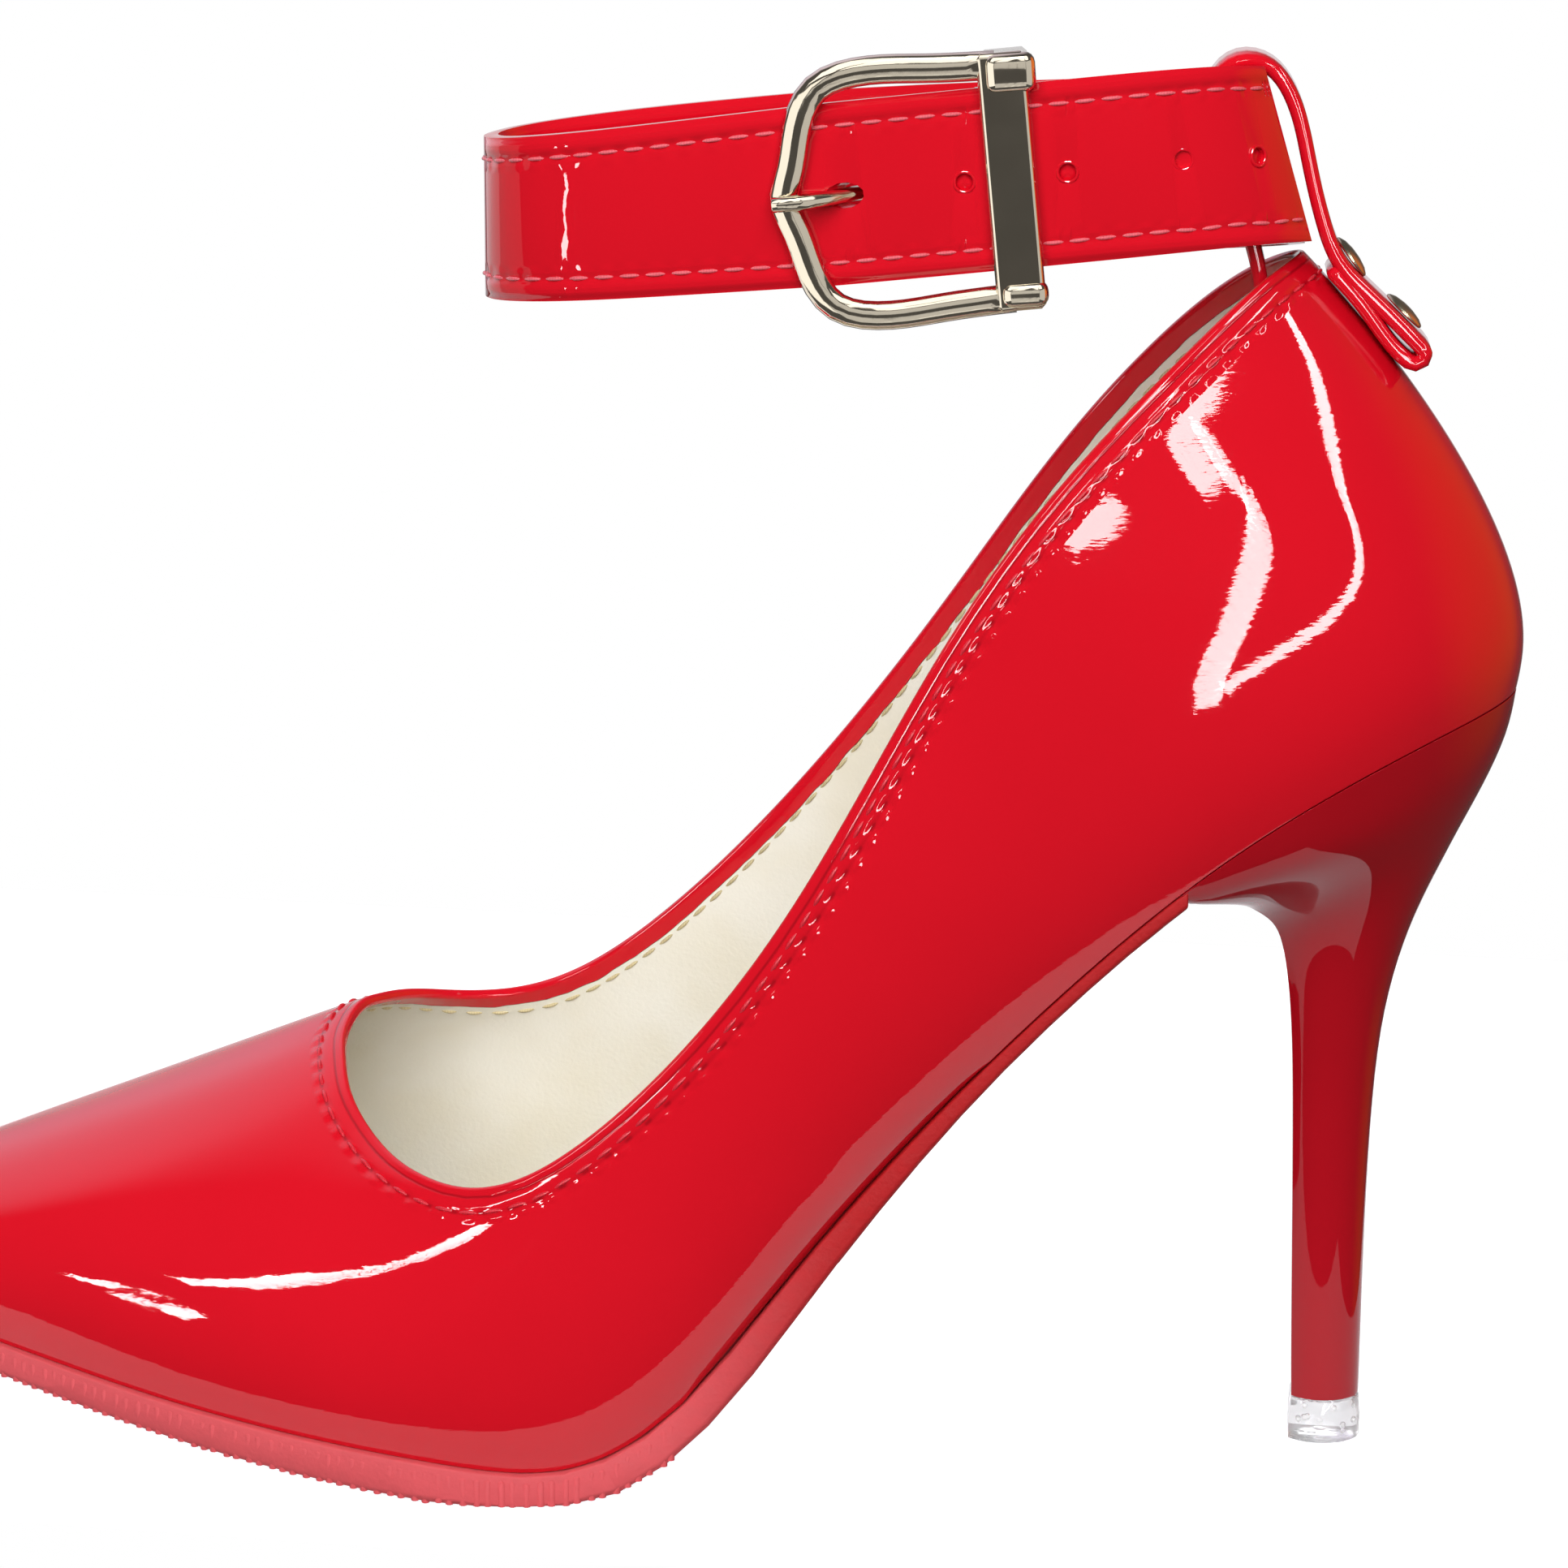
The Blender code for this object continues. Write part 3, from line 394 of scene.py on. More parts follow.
def bump(tree, shader, height):
    """Raise the surface by a height in metres, under the film as well as on it."""
    made = tree.nodes.new("ShaderNodeBump")
    set_inputs(made, {"Strength": 1.0, "Distance": 1.0})
    tree.links.new(height, made.inputs["Height"])
    tree.links.new(made.outputs["Normal"], shader.inputs["Normal"])
    tree.links.new(made.outputs["Normal"], shader.inputs["Coat Normal"])


def patent_group():
    """Patent film over leather: slow waves, small dimples and a fine grain, as a height and a shade mask."""
    group = bpy.data.node_groups.new("patent surface", "ShaderNodeTree")
    face = group.interface
    face.new_socket("Vector", in_out="INPUT", socket_type="NodeSocketVector")
    for name in ("Wave Depth", "Dimple Depth", "Grain Depth"):
        face.new_socket(name, in_out="INPUT", socket_type="NodeSocketFloat")
    for name in ("Height", "Shade"):
        face.new_socket(name, in_out="OUTPUT", socket_type="NodeSocketFloat")
    taken = group.nodes.new("NodeGroupInput").outputs
    given = group.nodes.new("NodeGroupOutput").inputs
    point = taken["Vector"]
    wave = product(group, noise(group, point, WAVE_SCALE, 1.0), taken["Wave Depth"])
    dimple = product(group, noise(group, point, DIMPLE_SCALE, 1.0), taken["Dimple Depth"])
    stretch = group.nodes.new("ShaderNodeMapping")
    stretch.inputs["Scale"].default_value = GRAIN_STRETCH
    group.links.new(point, stretch.inputs["Vector"])
    fine = noise(group, stretch.outputs["Vector"], GRAIN_SCALE, 2.0)
    grain = product(group, fine, taken["Grain Depth"])
    group.links.new(total(group, wave, dimple, grain), given["Height"])
    group.links.new(noise(group, point, SHADE_SCALE, 3.0), given["Shade"])
    return group


def patent_film(tree, group, film):
    """Place the patent group in a material with its own depths; gives the height and the shade mask."""
    made = tree.nodes.new("ShaderNodeGroup")
    made.node_tree = group
    tree.links.new(object_point(tree), made.inputs["Vector"])
    set_inputs(made, {"Wave Depth": film.wave, "Dimple Depth": film.dimple, "Grain Depth": film.grain})
    return made.outputs["Height"], made.outputs["Shade"]


def set_patent(shader, film):
    """A dyed base under a clear hard film; the film's index sets how much it mirrors."""
    set_inputs(shader, {
        "Roughness": film.base_roughness,
        "Coat Weight": 1.0,
        "Coat Roughness": COAT_ROUGHNESS,
        "Coat IOR": film.index,
        "Specular IOR Level": 0.0,
    })


def repeat_wave(tree, along, pitch):
    """Rises and falls once with every pitch, from minus one to one."""
    return calc(tree, "COSINE", product(tree, along, 2.0 * math.pi / pitch))


def stitched(tree, from_edge, wave, seam):
    """The groove of a seam, deeper at every stitch, and the row of puckers beside it."""
    depth = calc(tree, "MULTIPLY_ADD", wave, GROOVE_WAVE, GROOVE_DEPTH)
    groove = product(tree, bell(tree, from_edge, seam.place, seam.groove_half), depth)
    beside = bell(tree, from_edge, seam.place + seam.pucker_off, seam.pucker_half)
    return total(tree, groove, product(tree, beside, product(tree, wave, seam.pucker_height)))


def facing_up(tree):
    """How far a face looks up: one for up, minus one for down."""
    return parts_of(tree, tree.nodes.new("ShaderNodeNewGeometry").outputs["Normal"])[2]


def darker(colour, share):
    return tuple(c * share for c in colour)


# Patent films: depths of waves, dimples and grain, roughness of the dyed base and index of the clear coat
Film = namedtuple("Film", "wave dimple grain base_roughness index")
UPPER_FILM = Film(0.12 * MM, 0.02 * MM, 0.007 * MM, 0.3, 1.5)
STRAP_FILM = Film(0.12 * MM, 0.015 * MM, 0.001 * MM, 0.3, 1.5)
LIP_FILM = Film(0.02 * MM, 0.015 * MM, 0.001 * MM, 0.3, 1.5)
LOOP_FILM = Film(0.10 * MM, 0.015 * MM, 0.001 * MM, 0.3, 1.5)
HEEL_FILM = Film(0.05 * MM, 0.015 * MM, 0.001 * MM, 0.2, 1.38)
COAT_ROUGHNESS = 0.025
WAVE_SCALE = 38.0
DIMPLE_SCALE = 170.0
GRAIN_SCALE = 1500.0
GRAIN_STRETCH = (0.25, 0.25, 1.0)
SHADE_SCALE = 25.0

# Ridges and grooves in the leather: middle, half width and height
Ridge = namedtuple("Ridge", "middle half height")
COLLAR_RIM = Ridge(0.6 * MM, 0.6 * MM, 0.06 * MM)
COLLAR_CREASE = Ridge(1.4 * MM, 0.3 * MM, -0.05 * MM)
COLLAR_FOLD = Ridge(2.3 * MM, 0.9 * MM, 0.05 * MM)
STRAP_BEND = Ridge(-5.0 * MM, 1.4 * MM, 0.07 * MM)
STRAP_NICK = Ridge(61.9 * MM, 0.6 * MM, 0.08 * MM)

# Lining: how ragged its edge is, how softly it starts, how deep it lies, its weave and its roughness
LINING_RAGGED = 0.9 * MM
LINING_SOFT = 0.12 * MM
LINING_STEP = -0.3 * MM
LINING_WEAVE = 0.06 * MM
LINING_ROUGHNESS = 0.62

# Shade painted into the seam's pits and along the crease
PIT_HALF = 0.45 * MM
CREASE_SHADE = 0.55

# The strap's turned edge: where its padding is full, where it starts to fall, and its height
EDGE_FULL = 1.1 * MM
EDGE_FALL = 1.4 * MM
EDGE_HEIGHT = 0.30 * MM

# The strap's two creases: how ragged the bend is, and the slant, height and reach of the nick
BEND_RAGGED = 2.2 * MM
NICK_SLANT = 0.18
NICK_Z, NICK_REACH = 162.0 * MM, 6.0 * MM

# Roughness of the metals, and heights of the small reliefs
BUCKLE_ROUGHNESS = 0.09
SNAP_ROUGHNESS = 0.28
METAL_WAVES = 0.03 * MM
THREAD_TWIST = 0.01 * MM
TREAD_HEIGHT = 0.12 * MM
GRIT_HEIGHT = 0.1 * MM
SOCK_GRAIN = 0.1 * MM
BUBBLE_HEIGHT = 0.2 * MM


# Finishes
def upper_finish(patent):
    """Red patent outside and over the folded edge, cream lining inside."""
    material, tree, shader = new_material("red patent upper")
    set_patent(shader, UPPER_FILM)
    height, shade_mask = patent_film(tree, patent, UPPER_FILM)
    point = object_point(tree)
    below = stored(tree, "below_edge")
    inside = stored(tree, "inside")
    outer = calc(tree, "SUBTRACT", 1.0, inside)

    # The lining starts under the fold with a slightly uneven edge
    lining_from = total(tree, below, uneven(tree, point, 160.0, 2.0, LINING_RAGGED))
    _, y, z = parts_of(tree, point)
    fold_end = ramp(tree, z, FOLD_LOW_Z, FOLD_HIGH_Z, FOLD_LOW, FOLD_HIGH)
    past_fold = calc(tree, "SUBTRACT", lining_from, fold_end)
    lining = product(tree, ramp(tree, past_fold, 0.0, LINING_SOFT), ramp(tree, inside, 0.8, 0.98))
    not_lining = calc(tree, "SUBTRACT", 1.0, lining)

    # A tan line runs along the inner edge of the near side's rim, and shade is painted into the seam's pits
    # and along the crease
    red = mix_colour(tree, shade_mask, RED_DEEP, RED)
    near_rim_tan = product(tree, fade(tree, below, 0.3 * MM, 0.6 * MM), inside, fade(tree, y, 0.0, 10.0 * MM))
    red = mix_colour(tree, near_rim_tan, red, NEAR_RIM_TAN)
    wave = repeat_wave(tree, stored(tree, "along_edge"), SEAM_PITCH)
    pit_shade_strength = ramp(tree, wave, 0.1, 0.9, 0.2, 0.6)
    pit_shade = product(tree, bell(tree, below, COLLAR_SEAM.place, PIT_HALF), pit_shade_strength)
    line = product(tree, bell(tree, below, COLLAR_CREASE.middle, COLLAR_CREASE.half), CREASE_SHADE)
    painted_shade = product(tree, calc(tree, "MAXIMUM", pit_shade, line), outer)
    red = mix_colour(tree, painted_shade, red, RED_SHADE)
    cream = mix_colour(tree, ramp(tree, noise(tree, point, 60.0, 3.0), 0.3, 0.7), CREAM_SHADE, CREAM)
    tree.links.new(mix_colour(tree, lining, red, cream), shader.inputs["Base Color"])
    rough = ramp(tree, lining, 0.0, 1.0, UPPER_FILM.base_roughness, LINING_ROUGHNESS)
    tree.links.new(rough, shader.inputs["Roughness"])
    tree.links.new(not_lining, shader.inputs["Coat Weight"])

    # Rolled rim, crease, flat fold and the stitched groove
    edge_forms = [ridge(tree, below, form) for form in (COLLAR_RIM, COLLAR_CREASE, COLLAR_FOLD)]
    edge_form = product(tree, total(tree, *edge_forms, stitched(tree, below, wave, COLLAR_SEAM)), outer)
    step = product(tree, lining, LINING_STEP)
    film = product(tree, height, not_lining)
    weave = product(tree, noise(tree, point, 1600.0), LINING_WEAVE, lining)
    bump(tree, shader, total(tree, edge_form, step, film, weave))
    return material


def patent_finish(patent, name, colour, deep, film):
    material, tree, shader = new_material(name)
    set_patent(shader, film)
    height, shade_mask = patent_film(tree, patent, film)
    tree.links.new(mix_colour(tree, shade_mask, deep, colour), shader.inputs["Base Color"])
    bump(tree, shader, height)
    return material


def strap_finish(patent):
    """Patent strip with turned, padded edges, two stitched grooves and two creases from being bent."""
    material, tree, shader = new_material("red patent strap")
    set_patent(shader, STRAP_FILM)
    height, shade_mask = patent_film(tree, patent, STRAP_FILM)
    tree.links.new(mix_colour(tree, shade_mask, RED_DEEP, RED), shader.inputs["Base Color"])
    point = object_point(tree)
    x, y, z = parts_of(tree, point)
    wave = repeat_wave(tree, stored(tree, "along_strap"), SEAM_PITCH)
    across = calc(tree, "ABSOLUTE", stored(tree, "across_strap"))
    from_edge = calc(tree, "SUBTRACT", stored(tree, "half_width"), across)
    padding_end = fade(tree, from_edge, EDGE_FALL, STRAP_SEAM.place)
    padded = product(tree, ramp(tree, from_edge, 0.0, EDGE_FULL), padding_end, EDGE_HEIGHT)
    near_side = fade(tree, y, -11.0 * MM, -9.0 * MM)
    bent_x = total(tree, x, uneven(tree, point, 260.0, 3.0, BEND_RAGGED))
    bend = product(tree, ridge(tree, bent_x, STRAP_BEND), near_side)
    slant_x = calc(tree, "MULTIPLY_ADD", z, NICK_SLANT, x)
    nick = product(tree, ridge(tree, slant_x, STRAP_NICK), near_side, bell(tree, z, NICK_Z, NICK_REACH))
    bump(tree, shader, total(tree, padded, stitched(tree, from_edge, wave, STRAP_SEAM), bend, nick, height))
    return material


def thread_finish(name, colour):
    material, tree, shader = new_material(name)
    twist = tree.nodes.new("ShaderNodeTexWave")
    set_inputs(twist, {"Scale": 900.0, "Distortion": 1.5})
    tree.links.new(object_point(tree), twist.inputs["Vector"])
    strand = twist.outputs["Fac"]
    tree.links.new(mix_colour(tree, strand, darker(colour, 0.85), colour), shader.inputs["Base Color"])
    shader.inputs["Roughness"].default_value = 0.3
    bump(tree, shader, product(tree, strand, THREAD_TWIST))
    return material


def metal_finish(name, colour, roughness):
    """Plated metal with a slight cast waviness and a hazy polish."""
    material, tree, shader = new_material(name)
    shader.inputs["Metallic"].default_value = 1.0
    point = object_point(tree)
    haze = noise(tree, point, 140.0, 4.0)
    tree.links.new(mix_colour(tree, haze, darker(colour, 0.88), colour), shader.inputs["Base Color"])
    tree.links.new(ramp(tree, haze, 0.3, 0.8, roughness * 0.7, roughness * 1.4), shader.inputs["Roughness"])
    bump(tree, shader, product(tree, noise(tree, point, 220.0), METAL_WAVES))
    return material


def sole_finish():
    """Matt coral rubber with shade painted under the arch in a deeper red, and a fine cross tread below."""
    material, tree, shader = new_material("coral rubber")
    point = object_point(tree)
    x, _, _ = parts_of(tree, point)
    # the deeper red under the arch is painted shade
    arch = ramp(tree, x, 4.0 * MM, 34.0 * MM)
    speck = noise(tree, point, 500.0, 3.0)
    coral = mix_colour(tree, speck, darker(SOLE_CORAL, 0.86), SOLE_CORAL)
    red = mix_colour(tree, speck, darker(SOLE_ARCH_SHADE, 0.85), SOLE_ARCH_SHADE)
    tree.links.new(mix_colour(tree, arch, coral, red), shader.inputs["Base Color"])
    tree.links.new(ramp(tree, speck, 0.2, 0.8, 0.5, 0.72), shader.inputs["Roughness"])
    shader.inputs["Specular IOR Level"].default_value = 0.15
    under = product(tree, fade(tree, facing_up(tree), -0.9, -0.6), fade(tree, x, 8.0 * MM, 20.0 * MM))
    tread = product(tree, repeat_wave(tree, x, RIB_PITCH), TREAD_HEIGHT, under)
    grit = product(tree, noise(tree, point, 1400.0, 3.0), GRIT_HEIGHT)
    bump(tree, shader, total(tree, tread, grit))
    return material


def sock_finish():
    """Cream cloth on top; the board's edge, where it faces sideways and down, is painted in a dark red shade.
    """
    material, tree, shader = new_material("cream sock")
    point = object_point(tree)
    grain = noise(tree, point, 900.0, 4.0, 0.6)
    cream = mix_colour(tree, noise(tree, point, 50.0, 3.0), CREAM_SHADE, CREAM)
    # painted shade on the faces that look sideways and down
    edge = fade(tree, facing_up(tree), 0.1, 0.35)
    tree.links.new(mix_colour(tree, edge, cream, RED_SHADE), shader.inputs["Base Color"])
    tree.links.new(ramp(tree, grain, 0.2, 0.8, 0.5, 0.7), shader.inputs["Roughness"])
    bump(tree, shader, product(tree, grain, SOCK_GRAIN))
    return material


def tip_finish():
    """Clear plastic with a few small bubbles and a slight haze."""
    material, tree, shader = new_material("clear heel tip")
    bubbles = tree.nodes.new("ShaderNodeTexVoronoi")
    bubbles.inputs["Scale"].default_value = 600.0
    tree.links.new(object_point(tree), bubbles.inputs["Vector"])
    spots = fade(tree, bubbles.outputs["Distance"], 0.12, 0.3)
    tree.links.new(mix_colour(tree, spots, CLEAR, BUBBLE), shader.inputs["Base Color"])
    tree.links.new(ramp(tree, spots, 0.0, 1.0, 0.1, 0.4), shader.inputs["Roughness"])
    set_inputs(shader, {"Transmission Weight": 0.8, "IOR": 1.46})
    bump(tree, shader, product(tree, spots, BUBBLE_HEIGHT))
    return material


# Upper: the collar's edges are rolled, the lasted edge below is rounded to a share of that
COLLAR_STEP = 0.25 * MM
COLLAR_ROLL = 0.55 * MM
LASTED_DOWN = 0.3 * MM
LASTED_ROUND = 0.45
SHARP = math.radians(50.0)


def is_sharp(edge):
    return len(edge.link_faces) == 2 and edge.calc_face_angle() > SHARP


def sharp_loops(form):
    """The runs of sharp edges of a mesh, each as a list of vertex numbers in order."""
    links = {}
    for edge in form.edges:
        if is_sharp(edge):
            first, second = (vert.index for vert in edge.verts)
            links.setdefault(first, []).append(second)
            links.setdefault(second, []).append(first)
    loops = []
    waiting = set(links)
    while waiting:
        step = min(waiting)
        loop = []
        while step is not None:
            loop.append(step)
            waiting.discard(step)
            step = next((n for n in links[step] if n in waiting), None)
        loops.append(loop)
    return loops


def lining_faces(form):
    """Numbers of the inner wall's faces: of the two large walls between sharp edges, the smaller one."""
    form.faces.ensure_lookup_table()
    waiting = set(range(len(form.faces)))
    walls = []
    while waiting:
        queue = [waiting.pop()]
        wall = list(queue)
        while queue:
            for edge in form.faces[queue.pop()].edges:
                if is_sharp(edge):
                    continue
                for face in edge.link_faces:
                    if face.index in waiting:
                        waiting.discard(face.index)
                        wall.append(face.index)
                        queue.append(face.index)
        walls.append(wall)
    walls.sort(key=lambda wall: sum(form.faces[i].calc_area() for i in wall))
    return walls[-2]


class CollarLine:
    """One edge of the collar as places and ways down the wall, from the back round the shoe."""

    def __init__(self, form, loop):
        form.verts.ensure_lookup_table()
        verts = [form.verts[i] for i in loop]
        start = max(range(len(verts)), key=lambda k: verts[k].co.x)
        verts = verts[start:] + verts[:start]
        if verts[len(verts) // 4].co.y > 0.0:
            verts = verts[:1] + verts[:0:-1]
        on_line = set(loop)
        self.places = [vert.co.copy() for vert in verts]
        self.downs = []
        for vert in verts:
            others = [edge.other_vert(vert) for edge in vert.link_edges if not is_sharp(edge)]
            wall = min((o for o in others if o.index not in on_line), key=lambda o: o.co.z)
            self.downs.append((wall.co - vert.co).normalized())
        spans = [(a - b).length for a, b in zip(self.places, self.places[1:] + self.places[:1])]
        self.length = sum(spans)

    def samples(self, step):
        """Evenly spaced (length so far, place, down) along the line."""
        found = []
        done = 0.0
        wanted = 0.0
        count = len(self.places)
        for i in range(count):
            a, b = self.places[i], self.places[(i + 1) % count]
            span = (b - a).length
            while wanted <= done + span and wanted < self.length:
                share = (wanted - done) / span
                down = self.downs[i].lerp(self.downs[(i + 1) % count], share).normalized()
                found.append((wanted, a.lerp(b, share), down))
                wanted += step
            done += span
        return found

    def seam(self, below, tree, extra=None):
        """Points at the stitch pitch on the wall, below the edge by a distance that may grow with height."""
        line = []
        for _, spot, down in self.samples(SEAM_PITCH):
            reach = below + (extra(spot.z) if extra else 0.0)
            found, _, _, _ = tree.find_nearest(spot + down * reach)
            line.append(found)
        return line


def fold_width(z):
    """Width of the red fold inside the collar, which grows towards the top of the counter."""
    share = min(max((z - FOLD_LOW_Z) / (FOLD_HIGH_Z - FOLD_LOW_Z), 0.0), 1.0)
    return FOLD_LOW + (FOLD_HIGH - FOLD_LOW) * share * share * (3.0 - 2.0 * share)


def mark_collar(shell, outer, inner):
    """Store how far each point lies below the nearer collar edge and how far along it."""
    marks = []
    for line in (outer, inner):
        marks += [(spot, s / line.length * outer.length) for s, spot, _ in line.samples(COLLAR_STEP)]
    finder = KDTree(len(marks))
    for i, (spot, _) in enumerate(marks):
        finder.insert(spot, i)
    finder.balance()
    below = []
    along = []
    for vert in shell.data.vertices:
        _, index, distance = finder.find(vert.co)
        below.append(distance)
        along.append(marks[index][1])
    write_values(shell, "below_edge", below)
    write_values(shell, "along_edge", along)


# Soft troughs in the patent of the outer side: middle, reach along X and up Z, and depth inwards
Press = namedtuple("Press", "middle reach_x reach_z depth")
PRESS_REACH_Y = 12.0 * MM
PRESSES = (
    Press(Vector((0.0755, -0.0245, 0.1345)), 8.0 * MM, 7.0 * MM, 0.08 * MM),
    Press(Vector((-0.0590, -0.0300, 0.0235)), 8.0 * MM, 4.0 * MM, 0.12 * MM),
    Press(Vector((0.0250, -0.0300, 0.0450)), 14.0 * MM, 5.0 * MM, 0.10 * MM),
)


def press_leather(shell):
    """Push the outer side of the upper in a little at each press, both faces of the wall together."""
    for press in PRESSES:
        for vert in shell.data.vertices:
            off = vert.co - press.middle
            if abs(off.y) > PRESS_REACH_Y:
                continue
            reach = (off.x / press.reach_x) ** 2 + (off.z / press.reach_z) ** 2
            if reach < 1.0:
                vert.co.y += press.depth * (1.0 - reach) ** 2


def upper(patent):
    shell = copy_of("upper", "upper_shell")
    form = bmesh.new()
    form.from_mesh(shell.data)
    form.verts.ensure_lookup_table()
    loops = sharp_loops(form)
    loops.sort(key=lambda loop: max(form.verts[i].co.z for i in loop))
    for loop in loops[:-2]:
        for i in loop:
            shell.data.vertices[i].co.z -= LASTED_DOWN
    lines = [CollarLine(form, loop) for loop in loops[-2:]]
    inner, outer = sorted(lines, key=lambda line: line.length)
    lining = {vert.index for i in lining_faces(form) for vert in form.faces[i].verts}
    write_values(shell, "inside", [1.0 if i in lining else 0.0 for i in range(len(form.verts))])
    collar = {i for loop in loops[-2:] for i in loop}
    weights = []
    for edge in form.edges:
        on_collar = all(vert.index in collar for vert in edge.verts)
        weights.append((1.0 if on_collar else LASTED_ROUND) if is_sharp(edge) else 0.0)
    form.free()
    marked = shell.data.attributes.new("bevel_weight_edge", "FLOAT", "EDGE")
    marked.data.foreach_set("value", weights)
    modifier = shell.modifiers.new("rolled edge", "BEVEL")
    modifier.width = COLLAR_ROLL
    modifier.segments = 3
    modifier.limit_method = "WEIGHT"
    apply_modifiers(shell)
    smooth_form(shell, 2)
    press_leather(shell)
    mark_collar(shell, outer, inner)
    complete(shell, ROUND_FORM, upper_finish(patent), "upper")
    return shell, outer, inner


# Stitches
STITCH_LENGTH = 2.5 * MM
STITCH_RADIUS = 0.25 * MM
STITCH_ARCH = 0.34 * MM


def stitch():
    """One bowed stitch along X, raised in the middle, with its ends below the surface."""
    bpy.ops.object.select_all(action="DESELECT")
    bpy.ops.mesh.primitive_cylinder_add(
        vertices=8, radius=STITCH_RADIUS, depth=STITCH_LENGTH, end_fill_type="TRIFAN",
        rotation=(0.0, math.pi / 2.0, 0.0),
    )
    made = bpy.context.object
    bpy.ops.object.transform_apply(location=True, rotation=True, scale=True)
    open_mesh(made, "VERT")
    for share in (-0.25, 0.0, 0.25):
        bpy.ops.mesh.select_all(action="SELECT")
        bpy.ops.mesh.bisect(plane_co=(STITCH_LENGTH * share, 0.0, 0.0), plane_no=(1.0, 0.0, 0.0))
    close_mesh()
    for vert in made.data.vertices:
        share = 2.0 * vert.co.x / STITCH_LENGTH
        vert.co.z += STITCH_ARCH * (0.3 - share * share)
        vert.co.y *= 1.0 - 0.35 * share**4
    return made


def sew(name, line, tree, thread):
    """One stitch on the middle of each span of a line, turned to the surface under it."""
    seats = []
    for a, b in zip(line, line[1:]):
        spot, normal, _, _ = tree.find_nearest((a + b) / 2.0)
        seats.append(Matrix.Translation(spot) @ turned(b - a, normal))
    return lay_copies(name, stitch(), seats, thread)


# Ankle strap, which rises and leans back towards the heel
STRAP_CENTRE = Vector((33.0 * MM, -1.5 * MM, 0.0))
STRAP_FRONT_X = -16.65 * MM
STRAP_LENGTH_X = 102.0 * MM
STRAP_RISE = 0.107
STRAP_RISE_AT = Vector((9.35 * MM, -16.4 * MM, 163.8 * MM))
STRAP_CANT = 0.15
STRAP_HALF_WIDTH = 11.2 * MM
STRAP_FULL_WITHIN = 45.0 * MM
STRAP_FRONT_SHARE = 0.9
STRAP_LEAN = -0.31
STRAP_LEAN_POWER = 2.5

# Level rays that find the strap from outside
STRAP_RAYS = 900
RAY_FROM = 120.0 * MM
RAY_Z = 166.0 * MM


def strap_share(x):
    """Share of the way back along the strap."""
    return max((x - STRAP_FRONT_X) / STRAP_LENGTH_X, 0.0)


def strap_middle(x, y):
    """Height of the strap's middle line over a place."""
    rise = STRAP_RISE * (x - STRAP_RISE_AT.x)
    return STRAP_RISE_AT.z + rise - STRAP_CANT * strap_share(x) ** 2 * (y - STRAP_RISE_AT.y)


def strap_half_width(x):
    """Half the strap's width, a little less at the front of the ankle."""
    share = min(max((x - STRAP_FRONT_X) / STRAP_FULL_WITHIN, 0.0), 1.0)
    return STRAP_HALF_WIDTH * (STRAP_FRONT_SHARE + (1.0 - STRAP_FRONT_SHARE) * share)


def strap_up(x):
    """The way across the strap, from its lower edge to its upper one."""
    return Vector((STRAP_LEAN * strap_share(x) ** STRAP_LEAN_POWER, 0.0, 1.0)).normalized()


def strap_line(tree, offset):
    """Points round the outside of the strap, off its middle line by a share of the way to an edge seam."""
    line = []
    for k in range(STRAP_RAYS + 1):
        turn = math.pi / 2.0 + 2.0 * math.pi * k / STRAP_RAYS
        out = Vector((math.cos(turn), math.sin(turn), 0.0))
        z = RAY_Z
        for _ in range(3):
            start = STRAP_CENTRE + Vector((0.0, 0.0, z)) + out * RAY_FROM
            hit, _, _, _ = tree.ray_cast(start, -out, RAY_FROM)
            if hit is None:
                break
            z = strap_middle(hit.x, hit.y)
        if hit is None:
            continue
        seam = hit + strap_up(hit.x) * offset * (strap_half_width(hit.x) - STRAP_SEAM.place)
        found, _, _, _ = tree.ray_cast(seam + out * 20.0 * MM, -out, 30.0 * MM)
        if found is not None:
            line.append(found)
    return line


def mark_strap(strap, tree):
    """Store the place across and along the strap on each vertex, and half its width there."""
    line = strap_line(tree, 0.0)
    finder = KDTree(len(line))
    lengths = [0.0]
    for i, spot in enumerate(line):
        finder.insert(spot, i)
        if i:
            lengths.append(lengths[-1] + (spot - line[i - 1]).length)
    finder.balance()
    across = []
    along = []
    half = []
    for vert in strap.data.vertices:
        x, y, _ = vert.co
        middle = Vector((x, y, strap_middle(x, y)))
        across.append((vert.co - middle).dot(strap_up(x)))
        half.append(strap_half_width(x))
        _, index, _ = finder.find(middle)
        along.append(lengths[index])
    write_values(strap, "across_strap", across)
    write_values(strap, "along_strap", along)
    write_values(strap, "half_width", half)


# Punched holes, with the lip round each and the layer of leather that shows in it
HOLE_X = (44.65 * MM, 57.25 * MM, 71.25 * MM)
HOLE_RADIUS = 1.25 * MM
TONGUE_Y = -18.5 * MM
LAST_HOLE = Vector((80.5 * MM, -13.1 * MM, 170.8 * MM))
DRILL_LENGTH = 6.0 * MM
DRILL_OUT = 1.8 * MM
LIP_RADIUS = 0.22 * MM
LIP_SUNK = 0.08 * MM
LIP_PUCKER = 0.06 * MM
LAYER_SHAPE = (1.05, 1.05, 0.35, 1.0)
LAYER_DOWN = 0.9 * MM


def hole_places(tree):
    """The middle of each hole on the outside of the strap and the way out, from the buckle backwards."""
    found = []
    for x in HOLE_X:
        z = strap_middle(x, TONGUE_Y)
        clear_of_hole = Vector((x, -60.0 * MM, z + 2.4 * MM))
        beside, out, _, _ = tree.ray_cast(clear_of_hole, Vector((0.0, 1.0, 0.0)), 60.0 * MM)
        found.append((Vector((x, beside.y, z)), out))
    _, out, _, _ = tree.find_nearest(LAST_HOLE + Vector((0.0, 0.0, 3.0 * MM)))
    return [*found, (LAST_HOLE, out)]


